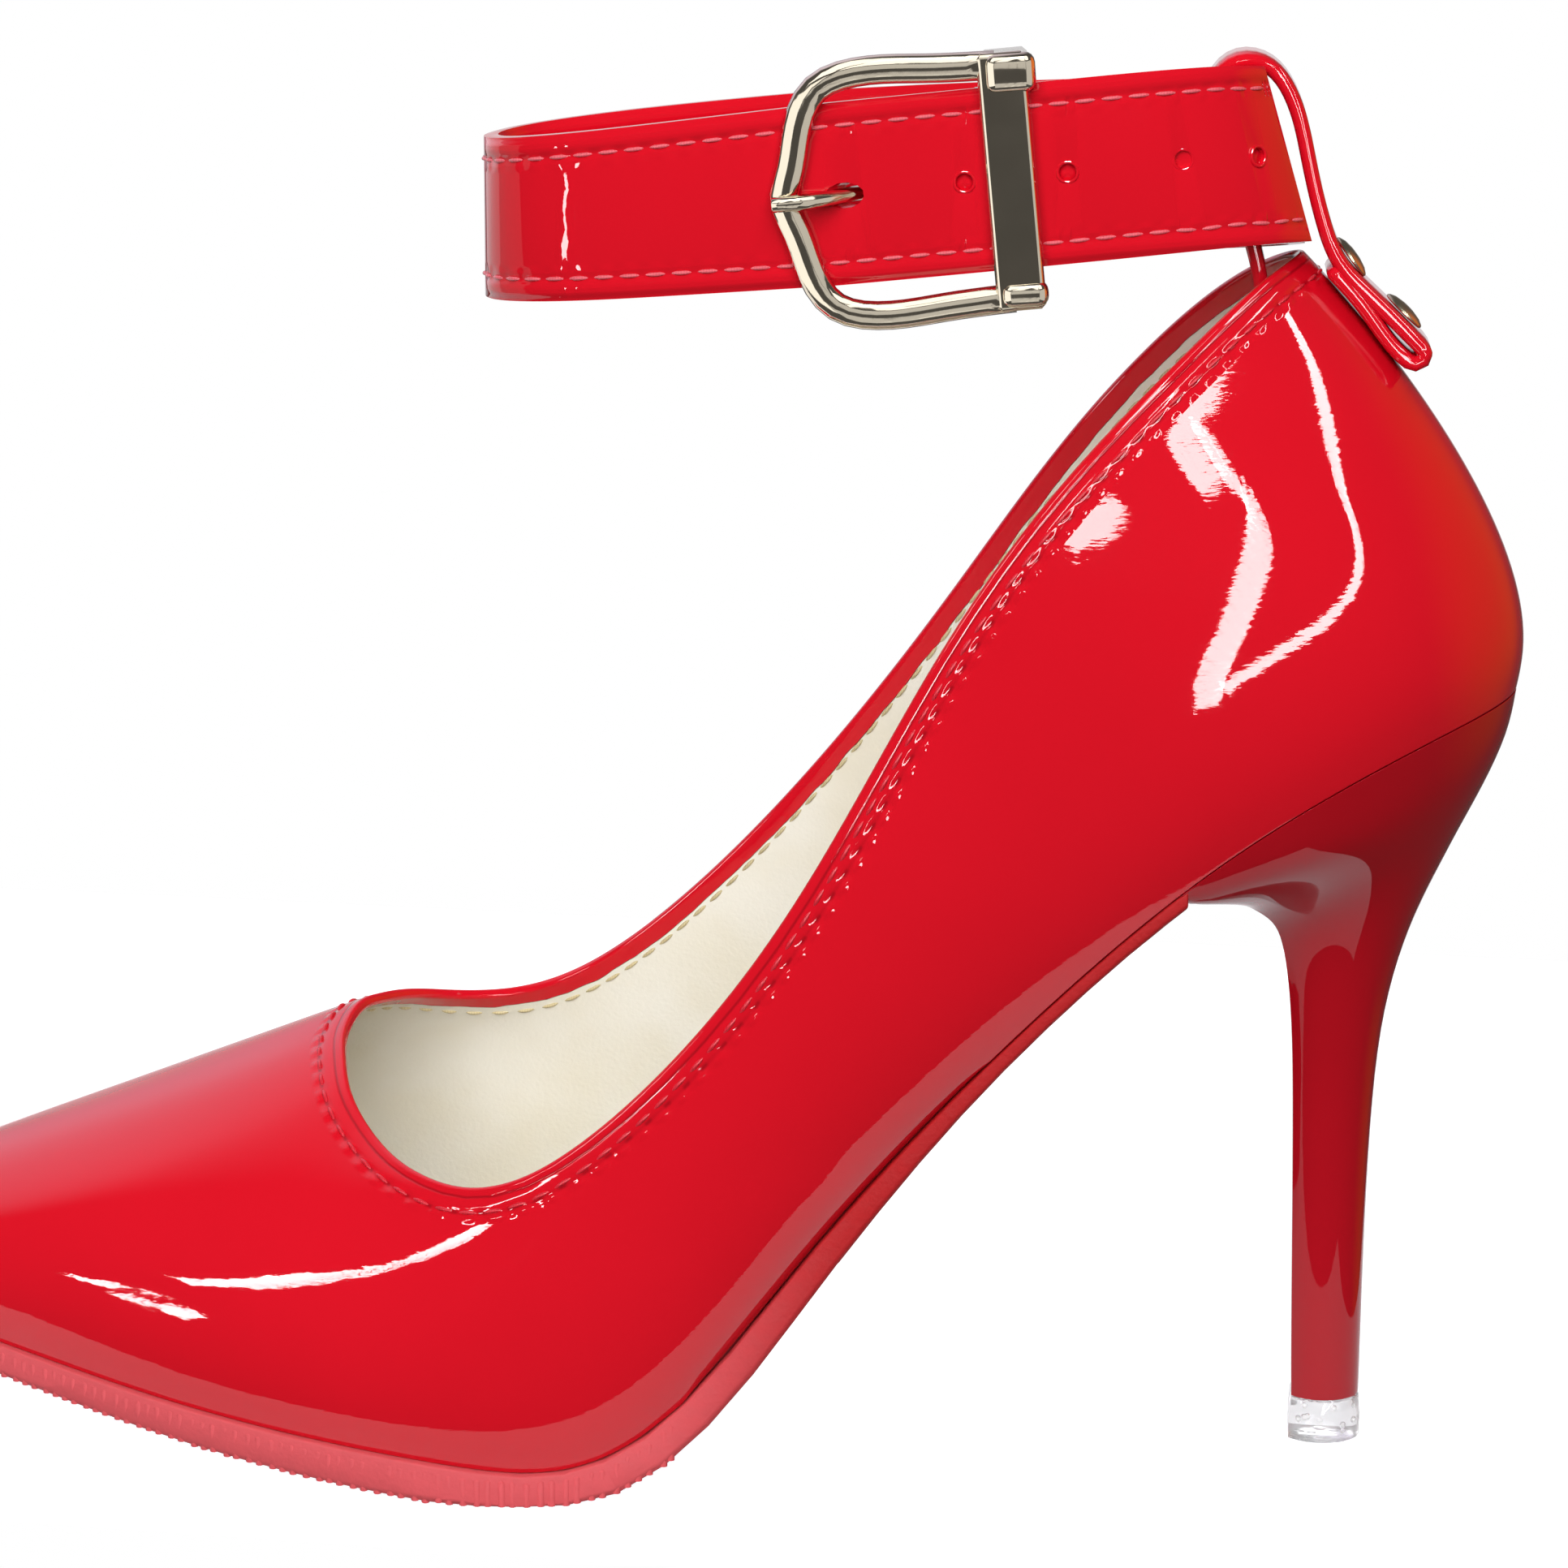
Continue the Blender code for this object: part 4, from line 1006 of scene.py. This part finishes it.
def last_hole(strap):
    """The fourth hole, near the end of the tongue, bored part of the way through."""
    spot, out = hole_places(tree_of(strap))[-1]
    bpy.ops.object.select_all(action="DESELECT")
    bpy.ops.mesh.primitive_cylinder_add(
        vertices=16, radius=HOLE_RADIUS, depth=DRILL_LENGTH,
        rotation=out.to_track_quat("Z", "Y").to_euler(), location=spot + out * DRILL_OUT,
    )
    drill = bpy.context.object
    modifier = strap.modifiers.new("hole", "BOOLEAN")
    modifier.operation = "DIFFERENCE"
    modifier.solver = "EXACT"
    modifier.object = drill
    apply_modifiers(strap)
    bpy.data.objects.remove(drill, do_unlink=True)


def hole_lip():
    """The puckered lip of a punched hole, with the layer below it, facing Z."""
    bpy.ops.object.select_all(action="DESELECT")
    bpy.ops.mesh.primitive_torus_add(
        major_radius=HOLE_RADIUS, minor_radius=LIP_RADIUS, major_segments=20, minor_segments=8,
    )
    lip = bpy.context.object
    bpy.ops.mesh.primitive_uv_sphere_add(segments=20, ring_count=8, radius=HOLE_RADIUS)
    layer = bpy.context.object
    layer.data.transform(Matrix.Diagonal(LAYER_SHAPE))
    layer.data.transform(Matrix.Translation((0.0, 0.0, -LAYER_DOWN)))
    bpy.ops.object.select_all(action="DESELECT")
    layer.select_set(True)
    lip.select_set(True)
    bpy.context.view_layer.objects.active = lip
    bpy.ops.object.join()
    for vert in lip.data.vertices:
        turn = math.atan2(vert.co.y, vert.co.x)
        vert.co.z += LIP_PUCKER * math.cos(3.0 * turn + 0.7)
    return lip


def punched_holes(tree, material):
    seats = []
    for spot, out in hole_places(tree):
        seats.append(Matrix.Translation(spot - out * LIP_SUNK) @ turned(out.orthogonal(), out))
    return lay_copies("hole_lips", hole_lip(), seats, material)


def ankle_strap(patent, thread):
    strap = copy_of("ankle_strap", "strap_leather")
    last_hole(strap)
    round_edges(strap, STRAP_EDGE)
    tree = tree_of(strap)
    mark_strap(strap, tree)
    complete(strap, STRIP_FORM, strap_finish(patent), "ankle_strap")
    seams = []
    for name, offset in (("strap_stitches_top", 1.0), ("strap_stitches_low", -1.0)):
        line = evenly(strap_line(tree, offset), SEAM_PITCH)
        seams.append(sew(name, line, tree, thread))
    lips = punched_holes(tree, patent_finish(patent, "hole lip", RED, RED_DEEP, LIP_FILM))
    return [strap, *seams], lips


# Loop, snaps and buckle
LOOP_PADDING = 0.4 * MM


def back_loop(patent):
    loop = copy_of("back_loop", "loop_leather")
    round_edges(loop, LOOP_EDGE)
    padding = [vert.normal * LOOP_PADDING for vert in loop.data.vertices]
    for vert, step in zip(loop.data.vertices, padding):
        vert.co += step
    leather = patent_finish(patent, "red patent loop", RED, RED_DEEP, LOOP_FILM)
    complete(loop, STRIP_FORM, leather, "back_loop")


def snaps():
    metal = metal_finish("dull gold snap", DULL_GOLD, SNAP_ROUGHNESS)
    for name in ("snap_upper", "snap_lower"):
        cap = copy_of(name, name.replace("snap", "snap_cap"))
        round_edges(cap, SNAP_EDGE)
        complete(cap, ROUND_FORM, metal, name)


# The blocks on the keeper's ends: name, middle and size in millimetres
KEEPER_LEAN = math.radians(-4.9)
BLOCK_ROUND = 1.3 * MM
KEEPER_BLOCKS = (
    ("keeper_block_top", (50.1, -20.6, 181.2), (6.2, 3.4, 4.8)),
    ("keeper_block_low", (52.4, -20.6, 154.3), (5.8, 3.4, 3.2)),
)


def keeper_block(name, middle, size, metal):
    """A block with well rounded edges, where the keeper bar meets the bow."""
    bpy.ops.object.select_all(action="DESELECT")
    bpy.ops.mesh.primitive_cube_add(size=1.0)
    block = bpy.context.object
    block.name = name
    block.data.name = name
    block.data.transform(Matrix.Diagonal((*(Vector(size) * MM), 1.0)))
    open_mesh(block, "FACE")
    bpy.ops.mesh.select_all(action="SELECT")
    bpy.ops.mesh.bevel(offset=BLOCK_ROUND, segments=4, affect="EDGES")
    close_mesh()
    block.data.transform(Matrix.Translation(Vector(middle) * MM) @ Matrix.Rotation(KEEPER_LEAN, 4, "Y"))
    complete(block, ROUND_FORM, metal, None)
    return block


def buckle():
    metal = metal_finish("pale gold buckle", PALE_GOLD, BUCKLE_ROUGHNESS)
    bow = copy_of("buckle_frame", "buckle_bow")
    round_edges(bow, BOW_EDGE)
    complete(bow, ROUND_FORM, metal, "buckle_frame")
    keep_flats(bow)
    blocks = [keeper_block(*block, metal) for block in KEEPER_BLOCKS]
    pin = copy_of("buckle_prong", "buckle_pin")
    round_edges(pin, PIN_EDGE)
    complete(pin, ROUND_FORM, metal, "buckle_prong")
    return [bow, pin, *blocks]


# Ribs on the side of the sole
RIB_PITCH = 1.7 * MM
RIB_RADIUS = 0.55 * MM
RIB_STAND = 0.28 * MM
RIBS_END_X = 10.0 * MM
RIB_FOOT_DOWN = 0.2 * MM
RIB_FOOT_Z = 0.1 * MM
RIB_TOP_SHORT = 0.12

# Level rays that find that side, along both sides of the sole and round the toe
TOE_CENTRE = Vector((-98.0 * MM, 2.0 * MM, 0.0))
SIDE_STEPS = 240
TOE_STEPS = 90
LOOK_FROM = 90.0 * MM
LOOK_FAR = 120.0 * MM
LOOK_Z = 0.15 * MM
LOOK_STEP = 0.25 * MM
LOOK_STEPS = 90

# Sole, heel, tip and insole: the sole's end is tucked under the heel's lip
SOLE_END_X = 72.5 * MM
SOLE_TUCK = Vector((1.2 * MM, 0.0, 1.0 * MM))
SOCK_EASE = 1.0 * MM


def side_of_sole(tree, start, way):
    """The lowest and highest points of the sole's side that level lines meet."""
    hits = []
    for step in range(LOOK_STEPS):
        z = LOOK_Z + step * LOOK_STEP
        hit, normal, _, _ = tree.ray_cast(Vector((start.x, start.y, z)), way, LOOK_FAR)
        if hit is not None and normal.dot(way) < -0.6:
            hits.append(hit)
    if len(hits) < 4:
        return None
    return hits[0], hits[-1]


def rib_line(tree):
    """Bottom, top and way out of the sole's side, from the outer waist round the toe to the inner one."""
    sides = []
    for k in range(SIDE_STEPS):
        x = RIBS_END_X + (TOE_CENTRE.x - RIBS_END_X) * k / SIDE_STEPS
        sides.append((Vector((x, -LOOK_FROM, 0.0)), Vector((0.0, 1.0, 0.0))))
    for k in range(TOE_STEPS):
        turn = -math.pi / 2.0 - math.pi * k / TOE_STEPS
        out = Vector((math.cos(turn), math.sin(turn), 0.0))
        sides.append((TOE_CENTRE + out * LOOK_FROM, -out))
    for k in range(SIDE_STEPS + 1):
        x = TOE_CENTRE.x + (RIBS_END_X - TOE_CENTRE.x) * k / SIDE_STEPS
        sides.append((Vector((x, LOOK_FROM, 0.0)), Vector((0.0, -1.0, 0.0))))
    found = []
    for start, way in sides:
        ends = side_of_sole(tree, start, way)
        if ends:
            found.append((*ends, -way))
    return found


def rib():
    """One rounded rib along Z, one metre long for stretching to its place."""
    bpy.ops.object.select_all(action="DESELECT")
    bpy.ops.mesh.primitive_cylinder_add(vertices=10, radius=RIB_RADIUS, depth=1.0, end_fill_type="TRIFAN")
    made = bpy.context.object
    open_mesh(made, "VERT")
    bpy.ops.mesh.select_all(action="SELECT")
    bpy.ops.mesh.bisect(plane_co=(0.0, 0.0, 0.42), plane_no=(0.0, 0.0, 1.0))
    close_mesh()
    for vert in made.data.vertices:
        if vert.co.z > 0.45:
            vert.co.x *= 0.5
            vert.co.y *= 0.5
    return made


def side_ribs(tree, rubber):
    seats = []
    done = RIB_PITCH
    line = rib_line(tree)
    for (low, high, out), (low_2, _, _) in zip(line, line[1:]):
        done += (low_2 - low).length
        if done < RIB_PITCH:
            continue
        done -= RIB_PITCH
        foot = low.copy()
        foot.z = max(foot.z - RIB_FOOT_DOWN, RIB_FOOT_Z)
        top = high - (high - low) * RIB_TOP_SHORT
        rise = top - foot
        side = rise.cross(out).normalized()
        face = side.cross(rise).normalized()
        turn = Matrix((face, side, rise.normalized())).transposed().to_4x4()
        stretch = Matrix.Diagonal((1.0, 1.0, rise.length, 1.0))
        middle = (foot + top) / 2.0 + face * (RIB_STAND - RIB_RADIUS)
        seats.append(Matrix.Translation(middle) @ turn @ stretch)
    lay_copies("sole_ribs", rib(), seats, rubber)


def sole():
    rubber = sole_finish()
    unit = copy_of("outsole", "sole_unit")
    for vert in unit.data.vertices:
        if vert.co.x > SOLE_END_X:
            vert.co += SOLE_TUCK
    round_edges(unit, SOLE_EDGE)
    complete(unit, SOLE_FORM, rubber, "outsole")
    side_ribs(tree_of(unit), rubber)


def heel(patent):
    stem = copy_of("heel", "heel_stem")
    round_edges(stem, HEEL_EDGE)
    smooth_form(stem, 2)
    lacquer = patent_finish(patent, "heel lacquer", HEEL_RED, HEEL_RED_DEEP, HEEL_FILM)
    complete(stem, ROUND_FORM, lacquer, "heel")
    tip = copy_of("heel_tip", "heel_top_piece")
    round_edges(tip, TIP_EDGE)
    complete(tip, BOARD_FORM, tip_finish(), "heel_tip")


def insole():
    """The sock, eased outwards until it meets the lining."""
    sock = copy_of("insole", "sock")
    steps = [Vector((vert.normal.x, vert.normal.y, 0.0)) for vert in sock.data.vertices]
    for vert, step in zip(sock.data.vertices, steps):
        if step.length > 0.3:
            vert.co += step.normalized() * SOCK_EASE
    round_edges(sock, SOCK_EDGE)
    complete(sock, BOARD_FORM, sock_finish(), "insole")


# Stage
def direction(azimuth, elevation):
    """A way off from the shoe: azimuth from the camera's side towards the heel, elevation up."""
    a = math.radians(azimuth)
    e = math.radians(elevation)
    return Vector((math.sin(a) * math.cos(e), -math.cos(a) * math.cos(e), math.sin(e)))


def camera():
    back = direction(VIEW_AZIMUTH, VIEW_ELEVATION)
    turn = (-back).to_track_quat("-Z", "Y").to_matrix().to_4x4()
    turn = turn @ Matrix.Rotation(math.radians(VIEW_ROLL), 4, "Z")
    bpy.ops.object.camera_add(location=VIEW_TARGET + back * VIEW_DISTANCE, rotation=turn.to_euler())
    made = bpy.context.object
    made.data.sensor_width = SENSOR_MM
    made.data.lens = SENSOR_MM * FOCAL_PIXELS / PHOTO_PIXELS
    made.data.clip_start = 0.01
    bpy.context.scene.camera = made


# Lamps that the patent mirrors: bent ribbons, each a row of (azimuth, elevation, width) seen from its aim
COUNTER = Vector((0.083, -0.025, 0.122))
COLLAR = Vector((0.061, -0.027, 0.128))
VAMP = Vector((-0.035, -0.033, 0.030))
TOE = Vector((-0.060, -0.030, 0.023))
ANKLE = Vector((-0.005, -0.016, 0.164))
BUCKLE = Vector((0.038, -0.021, 0.167))
MIDDLE = Vector((0.0, 0.0, 0.09))
LAMP_DISTANCE = 1.2
Ribbon = namedtuple("Ribbon", "name aim radiance way")
RIBBONS = (
    Ribbon("back_ribbon", COUNTER, 20.0, (
        (94, 46.8, 0.03), (83, 41.3, 0.045), (72, 37, 0.055), (64.5, 33.6, 0.06), (60.3, 29.4, 0.06),
        (59.2, 25.2, 0.055), (56, 20.5, 0.05), (48.6, 14.7, 0.045), (38.9, 9.3, 0.045), (26.6, 2.5, 0.045),
        (17.4, -3.2, 0.045), (11.5, -7.6, 0.045), (9.4, -10.2, 0.045))),
    Ribbon("side_top", COUNTER, 19.0, (
        (52, 42, 0.015), (42.6, 39.1, 0.025), (33, 35.6, 0.04), (25.5, 31.8, 0.055), (20.5, 28.3, 0.06),
        (17, 25.6, 0.05), (14.8, 24, 0.04))),
    Ribbon("side_ribbon", COUNTER, 19.0, (
        (21.6, 27.9, 0.045), (23.5, 27.4, 0.06), (26, 26.6, 0.075), (26.6, 23.1, 0.09), (23.8, 18.7, 0.095),
        (17.8, 11.8, 0.095), (11.9, 3.4, 0.09), (8.2, -4.1, 0.085), (7.3, -9.8, 0.08), (7.6, -13.4, 0.06))),
    Ribbon("collar_patch", COLLAR, 18.0, (
        (-4.4, 9.2, 0.045), (-1.6, 11.6, 0.075), (0.8, 13.6, 0.05), (2.8, 15.6, 0.02))),
    Ribbon("vamp_ribbon", VAMP, 24.0, (
        (-47.5, 22.5, 0.05), (-45.5, 24.3, 0.07), (-43, 26.2, 0.09), (-41, 28.6, 0.1), (-40.1, 31, 0.1),
        (-40.3, 33, 0.07))),
    Ribbon("toe_patch", TOE, 24.0, ((-52.5, 12.4, 0.03), (-49.5, 11.8, 0.08), (-47.3, 11.2, 0.035))),
    Ribbon("toe_spot", TOE, 24.0, ((-47.2, 8.9, 0.035), (-45.1, 7.8, 0.1), (-42.5, 5.2, 0.08))),
)
# Lamps that only the strap mirrors
STRAP_RIBBONS = (
    Ribbon("ankle_ribbon", ANKLE, 18.0, ((-43, -14, 0.18), (-43, 1, 0.18))),
    Ribbon("ankle_glow", ANKLE, 0.4, ((-76, -6, 1.3), (-110, -6, 1.3))),
    Ribbon("ankle_edge", ANKLE, 0.9, ((-110, -6, 1.3), (-150, -6, 1.3))),
)
# Cards that only the buckle mirrors
CARDS = (
    Ribbon("buckle_sky", BUCKLE, 1.6, ((-60, 52, 1.0), (0, 52, 1.0), (60, 52, 1.0))),
    Ribbon("buckle_front", BUCKLE, 0.6, ((-16, 14, 0.5), (4, 14, 0.5), (24, 14, 0.5))),
    Ribbon("buckle_left", BUCKLE, 1.3, ((-52, -35, 1.5), (-52, -5, 1.5), (-52, 24, 1.5))),
    Ribbon("buckle_right", BUCKLE, 0.6, ((55, -35, 1.3), (55, -5, 1.3), (55, 24, 1.3))),
    Ribbon("buckle_ground", BUCKLE, 0.6, ((-16, -33, 0.7), (4, -33, 0.7), (24, -33, 0.7))),
)
# Lamp that only the punched holes catch
HOLE_LAMP = Ribbon("hole_lamp", BUCKLE, 120.0, ((-25, 46, 0.6), (35, 46, 0.6)))
RIBBON_STEPS = 3
# Soft fills that light the dyed leather and are not mirrored: way, size across and strength
Fill = namedtuple("Fill", "name azimuth elevation size strength")
FILLS = (
    Fill("front_fill", 0.0, 30.0, 1.0, 6.6),
    Fill("top_fill", -20.0, 78.0, 0.9, 0.6),
    Fill("back_fill", 170.0, 45.0, 1.0, 2.4),
)


def curve_through(way):
    """A smooth run of (direction, width) through the given points."""
    points = [Vector((*direction(azimuth, elevation), width)) for azimuth, elevation, width in way]
    ends = [2 * points[0] - points[1], *points, 2 * points[-1] - points[-2]]
    run = []
    for p0, p1, p2, p3 in zip(ends, ends[1:], ends[2:], ends[3:]):
        for step in range(RIBBON_STEPS):
            t = step / RIBBON_STEPS
            slope = (p2 - p0) * t
            curl = (p0 * 2 - p1 * 5 + p2 * 4 - p3) * t**2
            twist = (p1 * 3 - p0 - p2 * 3 + p3) * t**3
            run.append((p1 * 2 + slope + curl + twist) / 2)
    return [(mark.xyz.normalized(), mark.w) for mark in [*run, points[-1]]]


def panel(name, aim, a, b, width, radiance):
    """A rectangular lamp between two points, turned to the place it lights."""
    spot = (a + b) / 2.0
    away = (spot - aim).normalized()
    side = (b - a).cross(away).normalized()
    along = away.cross(side).normalized()
    turn = Matrix((side, along, away)).transposed().to_euler()
    bpy.ops.object.light_add(type="AREA", location=spot, rotation=turn)
    made = bpy.context.object
    made.name = name
    made.data.shape = "RECTANGLE"
    made.data.size = width
    made.data.size_y = (b - a).length
    made.data.energy = radiance * math.pi * width * (b - a).length
    made.visible_camera = False
    return made


def lamps():
    """The ribbons and cards, which are only mirrored, and the fills; gives each row of lamps by name."""
    rows = {}
    for ribbon in (*RIBBONS, *STRAP_RIBBONS, *CARDS, HOLE_LAMP):
        run = [(ribbon.aim + way * LAMP_DISTANCE, width) for way, width in curve_through(ribbon.way)]
        rows[ribbon.name] = []
        for (a, width_a), (b, width_b) in zip(run, run[1:]):
            made = panel(ribbon.name, ribbon.aim, a, b, (width_a + width_b) / 2.0, ribbon.radiance)
            made.visible_diffuse = False
            rows[ribbon.name].append(made)
    for fill in FILLS:
        spot = MIDDLE + direction(fill.azimuth, fill.elevation) * LAMP_DISTANCE
        half = Vector((fill.size / 2.0, 0.0, 0.0))
        made = panel(fill.name, MIDDLE, spot - half, spot + half, fill.size, fill.strength)
        made.visible_glossy = False
    return rows


def link_lamps(name, rows, pieces, state):
    """Keep some rows of lamps for a list of pieces, or off it, as cards beside a lamp do."""
    group = bpy.data.collections.new(name)
    for piece in pieces:
        group.objects.link(piece)
    for mark in group.collection_objects:
        mark.light_linking.link_state = state
    for lamp in sum(rows, []):
        lamp.light_linking.receiver_collection = group


# The room that the patent mirrors: way to each pale side, angles where it is full and where it ends, colour
Side = namedtuple("Side", "azimuth elevation full end colour")
ROOM = (0.09, 0.088, 0.086)
ROOM_SIDES = (
    Side(-143.0, 34.0, 14.0, 46.0, (0.85, 0.76, 0.92)),
    Side(112.0, 4.0, 10.0, 38.0, (0.95, 0.24, 0.05)),
    Side(185.0, -4.0, 6.0, 24.0, (0.75, 0.74, 0.76)),
)


def lobe(tree, way, side):
    """One towards a side of the room, falling to nothing away from it."""
    made = tree.nodes.new("ShaderNodeVectorMath")
    made.operation = "DOT_PRODUCT"
    tree.links.new(way, made.inputs[0])
    made.inputs[1].default_value = direction(side.azimuth, side.elevation)
    end = math.cos(math.radians(side.end))
    return ramp(tree, made.outputs["Value"], end, math.cos(math.radians(side.full)))


def surroundings():
    """White where the camera looks; for the reflections a dim room with a pale wall behind the toe, a warm
    one beside the heel and the white backdrop."""
    world = bpy.data.worlds.new("studio")
    world.use_nodes = True
    bpy.context.scene.world = world
    tree = world.node_tree
    tree.nodes.clear()
    way = tree.nodes.new("ShaderNodeTexCoord").outputs["Generated"]
    seen = tree.nodes.new("ShaderNodeBackground")
    seen.inputs["Color"].default_value = (1.0, 1.0, 1.0, 1.0)
    seen.inputs["Strength"].default_value = 1.0
    lit = tree.nodes.new("ShaderNodeBackground")
    room = ROOM
    for side in ROOM_SIDES:
        room = mix_colour(tree, lobe(tree, way, side), room, side.colour)
    tree.links.new(room, lit.inputs["Color"])
    path = tree.nodes.new("ShaderNodeLightPath")
    mix = tree.nodes.new("ShaderNodeMixShader")
    out = tree.nodes.new("ShaderNodeOutputWorld")
    tree.links.new(path.outputs["Is Camera Ray"], mix.inputs["Fac"])
    tree.links.new(lit.outputs["Background"], mix.inputs[1])
    tree.links.new(seen.outputs["Background"], mix.inputs[2])
    tree.links.new(mix.outputs["Shader"], out.inputs["Surface"])


# The sheet under the shoe: size, its middle before it is turned, turn, shift after it, and how bright it is
SHEET_SIZE = (0.46, 0.30, 1.0, 1.0)
SHEET_MIDDLE = (-0.09, 0.15, 0.0)
SHEET_TURN = math.radians(-4.0)
SHEET_PLACE = (0.0, -0.053, -0.2 * MM)
SHEET_SEEN = 0.95
SHEET_MIRRORED = 0.7


def floor():
    """A white sheet that ends close before the shoe, so that only its lowest parts mirror it."""
    bpy.ops.object.select_all(action="DESELECT")
    bpy.ops.mesh.primitive_plane_add(size=1.0)
    ground = bpy.context.object
    ground.name = "floor"
    ground.data.transform(Matrix.Diagonal(SHEET_SIZE))
    ground.data.transform(Matrix.Translation(SHEET_MIDDLE))
    ground.data.transform(Matrix.Rotation(SHEET_TURN, 4, "Z"))
    ground.data.transform(Matrix.Translation(SHEET_PLACE))
    material, tree, shader = new_material("white paper")
    set_inputs(shader, {
        "Base Color": (0.35, 0.35, 0.35, 1.0),
        "Roughness": 0.8,
        "Emission Color": (1.0, 1.0, 1.03, 1.0),
    })
    path = tree.nodes.new("ShaderNodeLightPath")
    seen = product(tree, path.outputs["Is Camera Ray"], SHEET_SEEN)
    mirrored = product(tree, path.outputs["Is Glossy Ray"], SHEET_MIRRORED)
    tree.links.new(total(tree, seen, mirrored), shader.inputs["Emission Strength"])
    dress(ground, material)


def main():
    bpy.context.scene.view_settings.view_transform = "Standard"
    bpy.ops.object.select_all(action="DESELECT")
    camera()
    surroundings()
    rows = lamps()
    floor()
    patent = patent_group()
    red_thread = thread_finish("red thread", RED_THREAD)
    # red thread for the strap, painted paler to stand for its sheen
    painted_sheen_thread = thread_finish("red thread painted paler for sheen", PAINTED_SHEEN_THREAD)
    tan_thread = thread_finish("tan thread", TAN_THREAD)
    shell, outer, inner = upper(patent)
    tree = tree_of(shell)
    collar_line = outer.seam(COLLAR_SEAM.place, tree)
    lining_line = inner.seam(LINING_SEAM_BELOW, tree, fold_width)
    sew("collar_stitches", collar_line, tree, red_thread)
    sew("lining_stitches", lining_line, tree, tan_thread)
    strap_pieces, lips = ankle_strap(patent, painted_sheen_thread)
    back_loop(patent)
    snaps()
    buckle_pieces = buckle()
    sole()
    heel(patent)
    insole()
    shaded = [rows[ribbon.name] for ribbon in RIBBONS]
    link_lamps("strap and buckle in shade", shaded, [*strap_pieces, lips, *buckle_pieces], "EXCLUDE")
    link_lamps("strap lamps", [rows[ribbon.name] for ribbon in STRAP_RIBBONS], strap_pieces, "INCLUDE")
    link_lamps("buckle cards", [rows[card.name] for card in CARDS], buckle_pieces, "INCLUDE")
    link_lamps("hole lamp", [rows[HOLE_LAMP.name]], [lips], "INCLUDE")


main()
